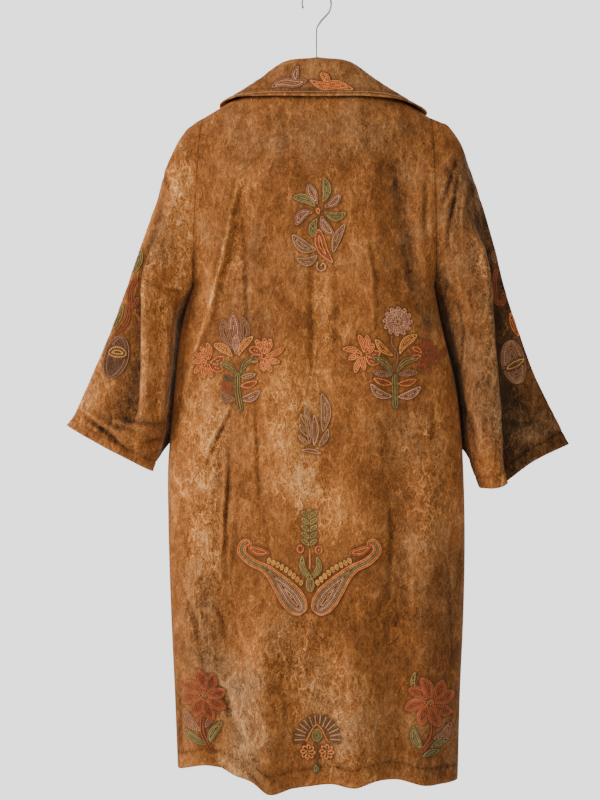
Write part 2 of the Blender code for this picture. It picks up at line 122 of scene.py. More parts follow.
def add_studio_world():
    """A pale backdrop that looks brighter than the soft light it gives."""
    world = bpy.data.worlds.new("studio")
    world.use_nodes = True
    tree = world.node_tree
    soft, shown = tree.nodes["Background"], tree.nodes.new("ShaderNodeBackground")
    for light, colour, strength in ((soft, SOFT_LIGHT, SOFT_STRENGTH), (shown, BACKDROP, BACKDROP_STRENGTH)):
        light.inputs["Color"].default_value = (*colour, 1)
        light.inputs["Strength"].default_value = strength
    path = tree.nodes.new("ShaderNodeLightPath")
    mixed = tree.nodes.new("ShaderNodeMixShader")
    tree.links.new(path.outputs["Is Camera Ray"], mixed.inputs["Fac"])
    tree.links.new(soft.outputs[0], mixed.inputs[1])
    tree.links.new(shown.outputs[0], mixed.inputs[2])
    tree.links.new(mixed.outputs[0], tree.nodes["World Output"].inputs["Surface"])
    bpy.context.scene.world = world


add_studio_world()
print("the camera and", len(LAMPS), "lights are in")

# %% [markdown]
# ## The coat's form
#
# Cloth hangs in smooth curves between a few measured lines: the shoulder seam, the side seam, the hem and
# the edge of each fold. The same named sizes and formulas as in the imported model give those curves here, so
# the fine cloth lies where the plain wall lay. The seam gaps close up, because sewn cloth has none.

# %% Sizes of the body
WALL = 0.002
SEAM_GAP = 0.0003
ARMHOLE_GAP = 0.0002
COLLAR_GAP = 0.0003
TIP_X = 0.189
TIP_DROP = 0.212
NECK_X = 0.066
NECK_DROP = 0.139
SHOULDER_SLOPE = (TIP_DROP - NECK_DROP) / (TIP_X - NECK_X)
NECK_DIP = {"back": 0.018, "front": 0.107}
NECK_CURVE = {"back": 2.0, "front": 1.2}
NECK_DEPTH = {"back": 0.036, "front": 0.046}
NECK_FADE = {"back": 0.05, "front": 0.12}
HEM_DROP = 1.285
HEM_SHAPE_STARTS = 0.75
SHOULDER_RUN = {"back": 0.30, "front": 0.228}
ARMHOLE_DEPTH = {"back": 0.038, "front": 0.036}
UNDERARM_DROP = 0.490
UNDERARM_X = {"left": 0.205, "right": 0.195}
SIDE_ROUNDING = 2.4
FACE_SIGN = {"back": 1.0, "front": -1.0}

# half widths at the side seams below the underarm, and depths behind and before the middle
Outline = namedtuple("Outline", "drop left right back front")
BODY = [
    Outline(0.490, 0.205, 0.195, 0.062, 0.050),
    Outline(0.530, 0.218, 0.202, 0.064, 0.050),
    Outline(0.580, 0.229, 0.213, 0.065, 0.050),
    Outline(0.640, 0.235, 0.228, 0.067, 0.051),
    Outline(0.720, 0.242, 0.239, 0.069, 0.052),
    Outline(0.790, 0.247, 0.243, 0.071, 0.053),
    Outline(0.880, 0.2465, 0.2455, 0.074, 0.054),
    Outline(1.030, 0.242, 0.2435, 0.076, 0.055),
    Outline(1.160, 0.236, 0.2375, 0.078, 0.056),
    Outline(1.285, 0.231, 0.234, 0.080, 0.056),
]
# the hem's drop at places from the wearer's right to the left
HEMS = {
    "back": [
        (-0.234, 1.302), (-0.204, 1.297), (-0.169, 1.292), (-0.126, 1.284), (-0.095, 1.282),
        (-0.055, 1.289), (-0.022, 1.286), (0.035, 1.289), (0.081, 1.293), (0.100, 1.281),
        (0.136, 1.278), (0.159, 1.269), (0.183, 1.264), (0.231, 1.285),
    ],
    "front": [
        (-0.234, 1.302), (-0.150, 1.286), (-0.060, 1.292), (0.060, 1.290), (0.150, 1.276), (0.231, 1.285),
    ],
}
# the front edges: how far from the middle at a few drops
FRONT_EDGES = [(0.246, 0.004), (0.60, 0.007), (1.285, 0.014)]
print(f"the coat is {HEM_DROP - NECK_DROP:.2f} m long below the neck point")

# %% The large folds
# a fold runs from its top to its foot; a rise below zero is a valley, and open is 1 where it leaves the hem
Fold = namedtuple("Fold", "top_x top_drop foot_x foot_drop half_width rise open")
BACK_FOLDS = [
    Fold(0.1245, 0.270, 0.197, 0.585, 0.016, 0.008, 0),
    Fold(0.100, 0.320, 0.160, 0.600, 0.020, -0.007, 0),
    Fold(0.053, 0.400, 0.050, 0.980, 0.030, 0.006, 0),
    Fold(-0.010, 0.360, -0.012, 0.920, 0.024, -0.007, 0),
    Fold(-0.085, 0.400, -0.098, 0.840, 0.022, 0.007, 0),
    Fold(-0.112, 0.235, -0.160, 0.560, 0.024, -0.013, 0),
    Fold(-0.172, 0.260, -0.186, 0.600, 0.016, 0.006, 0),
    Fold(-0.138, 0.660, -0.126, 1.310, 0.032, -0.011, 1),
    Fold(-0.182, 0.700, -0.170, 1.316, 0.028, 0.009, 1),
    Fold(0.141, 0.640, 0.158, 1.040, 0.020, -0.009, 0),
    Fold(0.091, 0.980, 0.081, 1.330, 0.030, 0.017, 1),
    Fold(0.134, 0.960, 0.148, 1.310, 0.030, -0.015, 1),
    Fold(0.200, 0.900, 0.195, 1.300, 0.020, 0.008, 1),
    Fold(-0.013, 1.000, -0.022, 1.320, 0.028, -0.007, 1),
    Fold(-0.055, 0.960, -0.058, 1.320, 0.024, 0.006, 1),
]
FRONT_FOLDS = [
    Fold(0.110, 0.330, 0.185, 0.640, 0.020, 0.007, 0),
    Fold(-0.112, 0.340, -0.180, 0.650, 0.020, 0.007, 0),
    Fold(0.070, 0.560, 0.080, 1.310, 0.030, -0.008, 1),
    Fold(-0.066, 0.600, -0.076, 1.310, 0.030, -0.008, 1),
    Fold(0.140, 0.700, 0.150, 1.310, 0.030, 0.009, 1),
    Fold(-0.138, 0.720, -0.152, 1.310, 0.028, 0.009, 1),
]
print(len(BACK_FOLDS), "folds behind and", len(FRONT_FOLDS), "in front")

# %% Sizes of the sleeves and the collar
# one row for each ring of a sleeve, from just past the armhole to the cuff
Ring = namedtuple("Ring", "outer_x outer_drop inner_x inner_drop back front fold fold_at flat")
SLEEVES = {}
SLEEVES["left"] = [
    Ring(0.2025, 0.2208, 0.2165, 0.5090, 0.040, 0.036, 0.00, 0.25, 0.020),
    Ring(0.2158, 0.2318, 0.2245, 0.5250, 0.043, 0.036, 0.00, 0.25, 0.020),
    Ring(0.2324, 0.2573, 0.2310, 0.5400, 0.046, 0.037, 0.05, 0.22, 0.020),
    Ring(0.2500, 0.2980, 0.2350, 0.5600, 0.050, 0.037, 0.30, 0.20, 0.018),
    Ring(0.2639, 0.3486, 0.2370, 0.5830, 0.053, 0.036, 0.70, 0.18, 0.016),
    Ring(0.2938, 0.4333, 0.2385, 0.6120, 0.056, 0.033, 1.00, 0.24, 0.013),
    Ring(0.3170, 0.4980, 0.2415, 0.6400, 0.058, 0.030, 1.00, 0.46, 0.012),
    Ring(0.3408, 0.5627, 0.2450, 0.6720, 0.058, 0.028, 1.00, 0.61, 0.012),
    Ring(0.3625, 0.6140, 0.2485, 0.7020, 0.056, 0.026, 1.00, 0.70, 0.013),
    Ring(0.3820, 0.6600, 0.2520, 0.7350, 0.044, 0.022, 0.75, 0.76, 0.015),
    Ring(0.4000, 0.6989, 0.2610, 0.7700, 0.030, 0.018, 0.25, 0.78, 0.017),
    Ring(0.4150, 0.7204, 0.2722, 0.7968, 0.022, 0.014, 0.05, 0.78, 0.016),
]
SLEEVES["right"] = [
    Ring(0.2042, 0.2185, 0.2010, 0.5060, 0.040, 0.036, 0.00, 0.20, 0.020),
    Ring(0.2175, 0.2250, 0.2065, 0.5240, 0.043, 0.036, 0.00, 0.18, 0.020),
    Ring(0.2370, 0.2520, 0.2115, 0.5450, 0.046, 0.037, 0.05, 0.16, 0.020),
    Ring(0.2500, 0.2900, 0.2170, 0.5680, 0.049, 0.037, 0.30, 0.14, 0.018),
    Ring(0.2683, 0.3428, 0.2230, 0.5920, 0.052, 0.036, 0.65, 0.16, 0.016),
    Ring(0.2930, 0.4250, 0.2330, 0.6250, 0.055, 0.033, 1.00, 0.25, 0.013),
    Ring(0.3137, 0.5046, 0.2385, 0.6600, 0.057, 0.030, 1.00, 0.40, 0.011),
    Ring(0.3391, 0.5793, 0.2420, 0.6950, 0.058, 0.028, 1.00, 0.52, 0.010),
    Ring(0.3591, 0.6341, 0.2445, 0.7280, 0.057, 0.026, 1.00, 0.58, 0.010),
    Ring(0.3800, 0.6780, 0.2480, 0.7570, 0.054, 0.023, 1.00, 0.65, 0.010),
    Ring(0.3990, 0.7140, 0.2560, 0.7880, 0.050, 0.020, 1.00, 0.72, 0.010),
    Ring(0.4176, 0.7512, 0.2690, 0.8150, 0.045, 0.017, 0.95, 0.78, 0.010),
]
RIGHT_CUFF_HANG = 0.016
# where the sleeve's front layer closes the slit beside the body, so that the slit shows cloth painted dark as
# its shadow: its turn round the sleeve and how widely, from which drop to which it does, and how far it
# reaches in behind the body's edge and forwards
SLIT_TURN = 0.545
SLIT_SPREAD = 0.03
SLIT_STARTS = (0.47, 0.51)
SLIT_ENDS = (0.74, 0.785)
SLIT_REACH_AT_TOP = 0.0145
SLIT_REACH = 0.0095
SLIT_REACH_AT_FOOT = 0.0138
SLIT_FORWARD = 0.012
# the back half of a folded ring, from its outer line to its inner line
Section = namedtuple("Section", "across flat deep")
FOLD_SECTION = [
    Section(0.00, 0.00, 0.00),
    Section(0.05, 0.75, 0.00),
    Section(0.35, 1.05, 0.00),
    Section(0.72, 0.95, 0.03),
    Section(0.98, 0.60, 0.28),
    Section(0.96, 0.20, 0.78),
    Section(1.08, 0.00, 1.00),
    Section(1.35, 0.00, 1.03),
    Section(1.65, 0.00, 0.88),
    Section(1.93, 0.00, 0.48),
    Section(2.00, 0.00, 0.00),
]
# the collar, from the centre back round to a front end
Collar = namedtuple("Collar", "along rise fall edge_left edge_right edge_y edge_drop ease")
COLLAR = [
    Collar(0.00, 0.031, 0.006, 0.000, 0.000, 0.047, 0.190, 0.003),
    Collar(0.25, 0.024, 0.005, 0.090, 0.092, 0.043, 0.188, 0.003),
    Collar(0.40, 0.016, 0.004, 0.136, 0.146, 0.026, 0.185, -0.001),
    Collar(0.50, 0.012, 0.004, 0.160, 0.182, 0.003, 0.189, -0.003),
    Collar(0.60, 0.012, 0.004, 0.158, 0.172, -0.024, 0.203, 0.002),
    Collar(0.75, 0.012, 0.004, 0.142, 0.148, -0.041, 0.246, 0.002),
    Collar(0.90, 0.012, 0.004, 0.114, 0.116, -0.050, 0.292, 0.003),
    Collar(1.00, 0.012, 0.004, 0.092, 0.092, -0.056, 0.322, 0.003),
]
NECK_LEAN = 0.0020
ROLL_RADIUS = 0.004
LEAF_REST = 0.0032
print(len(SLEEVES["left"]), "rings a sleeve")


# %% Curves through the tables
def smooth(at, xs, ys):
    """Reads ys at a place between its rows, on a smooth curve through them."""
    xs, ys, at = np.asarray(xs, float), np.asarray(ys, float), np.asarray(at, float)
    slope = np.gradient(ys, xs)
    i = np.clip(np.searchsorted(xs, at) - 1, 0, len(xs) - 2)
    step = xs[i + 1] - xs[i]
    t = np.clip((at - xs[i]) / step, 0, 1)
    start = ys[i] * (1 + 2 * t) * (1 - t) ** 2 + slope[i] * step * t * (1 - t) ** 2
    end = ys[i + 1] * t * t * (3 - 2 * t) + slope[i + 1] * step * t * t * (t - 1)
    return start + end


def column(rows, name):
    return [getattr(row, name) for row in rows]


def ramp(at, low, high):
    """0 up to low, 1 from high, and a soft step between them."""
    t = np.clip((np.asarray(at, float) - low) / (high - low), 0, 1)
    return t * t * (3 - 2 * t)


def bell(at, middle, spread):
    """1 at the middle, and less and less on both sides."""
    return np.exp(-(((at - middle) / spread) ** 2))


print("halfway up a ramp:", float(ramp(0.5, 0, 1)), "and at the top of a bell:", float(bell(0.0, 0, 1)))


# %% The body's surface
def top_drop(x, face):
    """The upper edge of the body at x: the shoulder seam, or the neckline between the neck points."""
    x = np.abs(x)
    shoulder = NECK_DROP + SHOULDER_SLOPE * (np.minimum(x, TIP_X) - NECK_X)
    inside = np.clip(x / NECK_X, 0, 1)
    if face == "back":
        dip = 1 - inside ** NECK_CURVE[face]
    else:
        dip = (1 - inside) ** NECK_CURVE[face]
    return np.where(x < NECK_X, NECK_DROP + NECK_DIP[face] * dip, shoulder)


def folds(x, drop, rows):
    """How far the large folds lift or sink the cloth at a place."""
    lift = np.zeros_like(np.asarray(x, float))
    for fold in rows:
        t = (drop - fold.top_drop) / (fold.foot_drop - fold.top_drop)
        line = fold.top_x + (fold.foot_x - fold.top_x) * t
        shown = ramp(t, 0, 0.35) * (1 - (1 - fold.open) * ramp(t, 0.6, 1))
        lift = lift + fold.rise * shown * bell(x, line, fold.half_width)
    return lift


def side_x(drop, side):
    """How far out the body reaches: straight down the armhole, then along the side seam."""
    down = (drop - TIP_DROP) / (UNDERARM_DROP - TIP_DROP)
    armhole = TIP_X + (UNDERARM_X[side] - TIP_X) * down
    seam = smooth(drop, column(BODY, "drop"), column(BODY, side))
    return np.where(drop < UNDERARM_DROP, armhole, seam)


def body_depth(x, drop, face):
    """How far the body's outer surface stands from the side seams' plane at a place."""
    out = np.abs(x)
    top = top_drop(out, face)
    below = np.maximum(drop - top, 0)
    side_drop = TIP_DROP + (HEM_DROP - TIP_DROP) * below / (HEM_DROP - top)
    width = np.where(x > 0, side_x(side_drop, "left"), side_x(side_drop, "right"))
    part = np.minimum(out / width, 1)
    growth = np.sqrt(1 - (1 - np.clip(below / SHOULDER_RUN[face], 0, 1)) ** 2)
    middle = smooth(drop, column(BODY, "drop"), column(BODY, face)) * growth
    centre, half = (TIP_DROP + UNDERARM_DROP) / 2, (UNDERARM_DROP - TIP_DROP) / 2
    armhole = ARMHOLE_DEPTH[face] * np.sqrt(np.clip(1 - ((side_drop - centre) / half) ** 2, 0, 1))
    depth = np.cbrt((middle * np.sqrt(1 - part**SIDE_ROUNDING)) ** 3 + armhole**3)
    neck = NECK_DEPTH[face] * np.sqrt(np.clip(1 - (out / NECK_X) ** 2, 0, 1))
    neck = neck * np.exp(-below / NECK_FADE[face])
    rows = BACK_FOLDS if face == "back" else FRONT_FOLDS
    depth = np.hypot(depth, neck) + folds(x, drop, rows) * (1 - part**8) * ramp(below, 0, 0.05)
    return np.maximum(depth, 0)


def body_point(share, length, face):
    """Points of the outer surface: share -1 is the wearer's right side, and length 1 is the hem."""
    side_drop = TIP_DROP + (HEM_DROP - TIP_DROP) * length
    to_left = share > 0 if face == "back" else share >= 0
    width = np.where(to_left, side_x(side_drop, "left"), side_x(side_drop, "right"))
    part = np.abs(share)
    first_edge = 0 if face == "back" else FRONT_EDGES[0][1]
    edge_x = 0 if face == "back" else np.interp(side_drop, *zip(*FRONT_EDGES))
    x = (edge_x + (width - edge_x) * part) * np.where(to_left, 1, -1)
    top = top_drop(first_edge + (TIP_X - first_edge) * part, face)
    drop = top + (HEM_DROP - top) * length
    depth = body_depth(x, drop, face)
    drop = drop + (smooth(x, *zip(*HEMS[face])) - HEM_DROP) * ramp(length, HEM_SHAPE_STARTS, 1)
    return np.stack([x, FACE_SIGN[face] * (SEAM_GAP / 2 + depth), -drop], axis=-1)


print("depth at the middle of the back:", round(float(body_depth(0.0, 0.7, "back")), 4), "m")


# %% The sleeves' surface
def fold_curve(t, fold_at, flat, deep):
    """The back half of a folded ring: how far across and how deep it is, from 0 to 1 along it."""
    stations = np.linspace(0, 1, len(FOLD_SECTION))
    across = smooth(t, stations, column(FOLD_SECTION, "across"))
    depth = flat * smooth(t, stations, column(FOLD_SECTION, "flat"))
    depth = depth + deep * smooth(t, stations, column(FOLD_SECTION, "deep"))
    before, after = np.minimum(across, 1), np.maximum(across - 1, 0)
    return fold_at * before + (1 - fold_at) * after, depth


def sleeve_point(turn, length, side):
    """Points of a sleeve: turn runs once round from the outer line over the back, length to the cuff."""
    inner_x = UNDERARM_X[side]
    depths = ARMHOLE_DEPTH["back"], ARMHOLE_DEPTH["front"]
    armhole = Ring(TIP_X, TIP_DROP, inner_x, UNDERARM_DROP, *depths, fold=0, fold_at=0.25, flat=0.02)
    rows = [armhole] + SLEEVES[side]
    stations = np.linspace(0, 1, len(rows))
    ring = Ring(*(smooth(length, stations, column(rows, name)) for name in Ring._fields))
    at_back = turn <= 0.5
    angle = 2 * math.pi * turn
    across = (1 - np.cos(angle)) / 2
    depth = np.where(at_back, ring.back, ring.front) * np.sin(angle)
    folded = fold_curve(np.minimum(turn * 2, 1), ring.fold_at, ring.flat, ring.back)
    strength = np.where(at_back, np.clip(ring.fold, 0, 1), 0)
    across = across + (folded[0] - across) * strength
    depth = depth + (folded[1] - depth) * strength
    x = ring.outer_x + (ring.inner_x - ring.outer_x) * across + ARMHOLE_GAP
    drop = ring.outer_drop + (ring.inner_drop - ring.outer_drop) * across
    if side == "right":
        hang = ramp(length, 0.8, 1) * bell(across, ring.fold_at, 0.28)
        drop = drop + RIGHT_CUFF_HANG * hang * at_back
    # the front layer tucks in behind the slit, where it is painted dark as the slit's shadow
    behind = bell(turn, SLIT_TURN, SLIT_SPREAD) * ramp(turn, 0.5, 0.52)
    reach = SLIT_REACH_AT_TOP + (SLIT_REACH - SLIT_REACH_AT_TOP) * ramp(drop, 0.52, 0.60)
    reach = reach + (SLIT_REACH_AT_FOOT - SLIT_REACH) * ramp(drop, 0.65, 0.70)
    shut = behind * ramp(drop, *SLIT_STARTS) * (1 - ramp(drop, *SLIT_ENDS))
    x, depth = x - reach * shut, depth - SLIT_FORWARD * shut
    return np.stack([x * (1 if side == "left" else -1), depth, -drop], axis=-1)


print("cuff's outer corner:", sleeve_point(np.array(0.0), np.array(1.0), "left").round(4))


# %% The collar's surface
def neck_seam(along):
    """The middle of the body's wall at the neckline: 0 at the centre back and 1 at the front end."""
    x_back = NECK_X * np.sin(math.pi * along)
    x_front = NECK_X * (1 - (1 - FRONT_EDGES[0][1] / NECK_X) * np.clip(2 * along - 1, 0, 1))
    at_back = along <= 0.5
    x = np.where(at_back, x_back, x_front)
    share = np.sqrt(np.clip(1 - (x / NECK_X) ** 2, 0, 1))
    y = np.where(at_back, NECK_DEPTH["back"] - WALL / 2, -NECK_DEPTH["front"] + WALL / 2) * share
    drop = np.where(at_back, top_drop(x, "back"), top_drop(x, "front"))
    return np.stack([x, y, -drop], axis=-1)


def neck_lean(along):
    """The way the collar leaves the neckline: in the cloth and square to the seam, upright in front."""
    step = 0.02
    run = neck_seam(np.minimum(along + step, 1)) - neck_seam(np.maximum(along - step, 0))
    inwards = np.abs(run[..., 2]) * (1 - ramp(along, 0.55, 1))
    lean = np.stack([-inwards, 0 * inwards, np.abs(run[..., 0]) + 1e-4], axis=-1)
    return lean / np.linalg.norm(lean, axis=-1, keepdims=True)


def collar_line(around, across):
    """Points in the middle of the collar's cloth at one place round the neck, from the seam to the edge."""
    along = abs(around)
    places = column(COLLAR, "along")
    row = Collar(*(float(smooth(along, places, column(COLLAR, name))) for name in Collar._fields))
    seam, lean = neck_seam(np.array(along)), neck_lean(np.array(along))
    deep = NECK_DEPTH["back"] if along <= 0.5 else NECK_DEPTH["front"]
    out = seam / [NECK_X**2, deep**2, 1] * [1, 1, 0]
    out = out / np.linalg.norm(out)
    edge_x = row.edge_left if around >= 0 else row.edge_right
    edge_drop = row.edge_drop + SHOULDER_SLOPE * (edge_x - row.edge_left)
    edge = np.array([edge_x, row.edge_y, -edge_drop])
    foot, start = seam + lean * COLLAR_GAP, seam + lean * NECK_LEAN
    roll = seam + lean * row.rise + out * row.fall
    inside = roll - out * ROLL_RADIUS - lean * ROLL_RADIUS
    outside = roll + out * ROLL_RADIUS - lean * ROLL_RADIUS * 0.7
    lift = np.array([0, 0, row.ease])
    third = outside + (edge - outside) * 0.34 + lift
    two_thirds = outside + (edge - outside) * 0.68 + lift * 0.6
    line = [foot, start, inside, roll, outside, third, two_thirds, edge]
    knots = [0, 0.08, 0.34, 0.4, 0.46, 0.64, 0.82, 1]
    x, y, z = (smooth(across, knots, [p[k] for p in line]) for k in range(3))
    x = x if around >= 0 else -x
    at_back = y >= 0
    top = np.where(at_back, top_drop(x, "back"), top_drop(x, "front"))
    body = np.where(at_back, body_depth(x, -z, "back"), body_depth(x, -z, "front"))
    rest = LEAF_REST * ramp(-z - top, -0.004, 0.003)
    resting = np.where(at_back, 1, -1) * np.maximum(np.abs(y), body + rest)
    return np.stack([x, np.where(across > 0.4, resting, y), z], axis=-1)


print("collar edge at the centre back:", collar_line(0.0, np.array([1.0]))[0].round(4))

# %% [markdown]
# ## Creases
#
# A velvet coat that has been folded away keeps sharp little ridges and furrows, and its pile is crushed in
# between. The creases that stand out are placed one by one, each with its own line, width and height. Their
# places are read in the photograph, where one pixel is 1.66 mm on the plane of the side seams, so a point
# of the cloth is first drawn along the line of sight to that plane. The small crushing comes from a ridged
# noise, which makes the same sort of sharp little crests.

# %% Places in the photograph
PIXEL = 0.00166
MIDDLE_U = 317
ZERO_V = -9


def seen(points):
    """Where points of the cloth appear in the photograph, in pixels across and down."""
    reach = CAMERA.y / (CAMERA.y - points[..., 1])
    x = CAMERA.x + (points[..., 0] - CAMERA.x) * reach
    z = CAMERA.z + (points[..., 2] - CAMERA.z) * reach
    return MIDDLE_U - x / PIXEL, ZERO_V - z / PIXEL


def spot(u, v):
    """The point of the side seams' plane that shows at a pixel of the photograph."""
    return Vector(((MIDDLE_U - u) * PIXEL, 0, (ZERO_V - v) * PIXEL))


print("the hem's middle shows at", [round(float(k)) for k in seen(body_point(np.array(0.01), 1.0, "back"))])

# %% Creases placed one by one
# a crease's half width in pixels, its rise as a share of CREASE_DEPTH, and points along it in pixels
Crease = namedtuple("Crease", "half_width rise line")
BACK_CREASES = [
    Crease(1.2, 2.0, [(243, 163), (234, 202), (223, 256), (208, 312), (195, 352), (184, 400)]),
    Crease(2.2, -1.0, [(248, 165), (239, 205), (229, 258), (215, 312), (204, 345), (190, 400)]),
    Crease(1.2, 1.4, [(216, 290), (211, 315), (202, 338)]),
    Crease(1.8, -2.2, [(243, 215), (246, 270), (247, 336)]),
    Crease(1.5, -1.8, [(256, 398), (257, 440), (260, 518)]),
    Crease(1.6, 1.2, [(252, 398), (253, 440), (256, 505)]),
    Crease(1.2, 1.2, [(353, 158), (362, 170), (372, 187)]),
    Crease(1.2, 0.9, [(388, 251), (398, 246), (404, 240)]),
    Crease(2.6, -1.3, [(390, 160), (398, 195), (402, 225), (408, 262), (414, 300)]),
    Crease(1.4, 1.4, [(394, 185), (401, 215), (407, 250), (413, 285), (422, 318)]),
    Crease(2.2, -1.3, [(404, 240), (411, 280), (420, 312), (436, 338)]),
    Crease(1.3, 1.3, [(365, 236), (371, 268), (374, 303), (373, 332)]),
    Crease(1.8, -1.3, [(369, 238), (376, 280), (378, 330)]),
    Crease(1.4, 1.8, [(431, 168), (430, 200), (430, 229), (433, 262)]),
    Crease(1.8, -2.0, [(426, 180), (425, 212), (427, 250)]),
    Crease(1.9, -1.8, [(312, 262), (311, 300), (312, 380)]),
    Crease(1.9, -1.5, [(335, 258), (336, 310), (334, 385)]),
    Crease(1.5, -2.0, [(432, 402), (434, 425), (431, 448)]),
    Crease(1.5, -2.2, [(233, 408), (224, 426), (217, 438), (209, 460), (200, 474)]),
    Crease(1.4, 1.8, [(229, 408), (220, 426), (212, 440), (205, 458)]),
    Crease(1.6, -2.4, [(230, 440), (229, 480), (226, 518), (225, 564), (227, 600)]),
    Crease(1.3, 1.9, [(226, 445), (225, 480), (222, 520), (221, 560)]),
    Crease(1.4, -1.8, [(238, 500), (236, 540), (231, 575), (238, 640), (243, 665)]),
    Crease(1.3, 1.6, [(235, 560), (232, 590), (240, 630), (247, 650)]),
    Crease(1.4, -1.6, [(268, 528), (269, 550)]),
    Crease(1.3, 1.2, [(205, 430), (214, 470), (211, 505)]),
    Crease(1.3, -1.4, [(182, 531), (185, 542), (190, 556)]),
    Crease(1.4, -1.1, [(176, 570), (183, 590), (190, 612), (198, 636)]),
    Crease(1.3, 1.5, [(181, 572), (189, 590), (196, 610)]),
    Crease(1.5, -1.3, [(187, 600), (196, 622), (202, 658), (206, 680)]),
    Crease(1.3, 1.7, [(193, 600), (202, 622), (207, 650)]),
    Crease(1.4, -1.8, [(212, 603), (222, 618), (226, 640)]),
    Crease(1.5, 2.6, [(212, 668), (223, 681), (233, 692), (236, 713), (247, 735), (250, 758)]),
    Crease(2.2, -2.4, [(208, 672), (219, 688), (228, 705), (231, 722), (241, 742)]),
    Crease(1.6, -2.0, [(178, 665), (181, 715), (179, 755)]),
    Crease(1.4, 1.4, [(183, 660), (186, 700), (184, 740)]),
    Crease(1.6, -2.2, [(212, 758), (224, 772), (236, 780)]),
    Crease(1.6, -2.2, [(236, 760), (250, 776), (267, 794)]),
    Crease(1.2, 1.2, [(238, 668), (248, 662), (256, 656)]),
    Crease(1.2, 1.4, [(248, 671), (255, 664), (263, 660)]),
    Crease(1.2, 1.0, [(240, 700), (251, 699), (260, 694)]),
    Crease(1.2, -1.0, [(258, 700), (262, 712), (268, 724)]),
    Crease(1.4, 1.0, [(345, 640), (349, 690), (346, 730)]),
    Crease(1.5, -1.2, [(388, 480), (391, 540), (388, 600)]),
    Crease(1.4, 1.2, [(408, 520), (413, 580), (411, 660)]),
    Crease(1.3, -1.3, [(447, 560), (452, 640), (450, 700)]),
    Crease(1.3, 1.1, [(300, 640), (306, 700), (304, 745)]),
]
SLEEVE_CREASES = [
    Crease(1.6, -3.4, [(76, 411), (90, 421), (108, 434), (121, 446), (130, 455)]),
    Crease(1.4, 2.0, [(78, 407), (93, 417), (111, 429), (125, 441)]),
    Crease(1.5, -2.2, [(93, 411), (115, 426), (140, 434)]),
    Crease(1.6, -2.4, [(114, 416), (135, 422), (152, 425), (167, 422)]),
    Crease(1.4, -1.8, [(142, 444), (153, 441), (166, 438)]),
    Crease(1.6, -2.0, [(163, 292), (172, 290), (184, 294)]),
    Crease(1.4, 2.0, [(163, 287), (173, 285), (183, 289)]),
    Crease(1.8, -2.6, [(199, 287), (192, 303), (185, 319)]),
    Crease(1.3, 1.6, [(198, 180), (196, 215), (197, 250), (196, 280)]),
    Crease(1.6, -1.8, [(201, 180), (199, 215), (200, 250)]),
    Crease(1.3, 1.3, [(162, 262), (178, 264), (190, 258)]),
    Crease(1.3, 1.3, [(150, 268), (160, 280), (168, 288)]),
    Crease(1.4, -1.5, [(160, 170), (170, 190), (181, 202)]),
    Crease(1.3, 1.4, [(166, 168), (176, 186), (186, 196)]),
    Crease(1.3, 1.3, [(158, 330), (166, 345), (163, 365)]),
    Crease(1.5, -2.4, [(458, 158), (450, 182), (442, 206)]),
    Crease(1.3, 1.8, [(463, 190), (454, 196), (445, 206)]),
    Crease(1.6, -2.4, [(459, 170), (456, 195), (449, 225), (447, 250)]),
    Crease(1.4, 1.8, [(466, 180), (462, 215), (463, 250)]),
    Crease(1.3, 1.4, [(474, 184), (483, 236), (487, 297)]),
    Crease(1.4, -1.8, [(455, 290), (463, 330), (461, 370)]),
    Crease(1.4, -1.6, [(462, 400), (472, 430), (476, 462)]),
    Crease(1.4, 1.5, [(470, 398), (480, 430), (484, 460)]),
    Crease(1.5, -1.8, [(500, 420), (520, 426), (540, 420)]),
    Crease(1.4, 1.2, [(502, 434), (522, 440), (548, 432)]),
    Crease(1.4, -1.5, [(516, 398), (528, 412), (534, 428)]),
]
CREASE_DEPTH = 0.0013
CREASE_WIDENED = 1.4
print(len(BACK_CREASES) + len(SLEEVE_CREASES), "creases placed by hand")
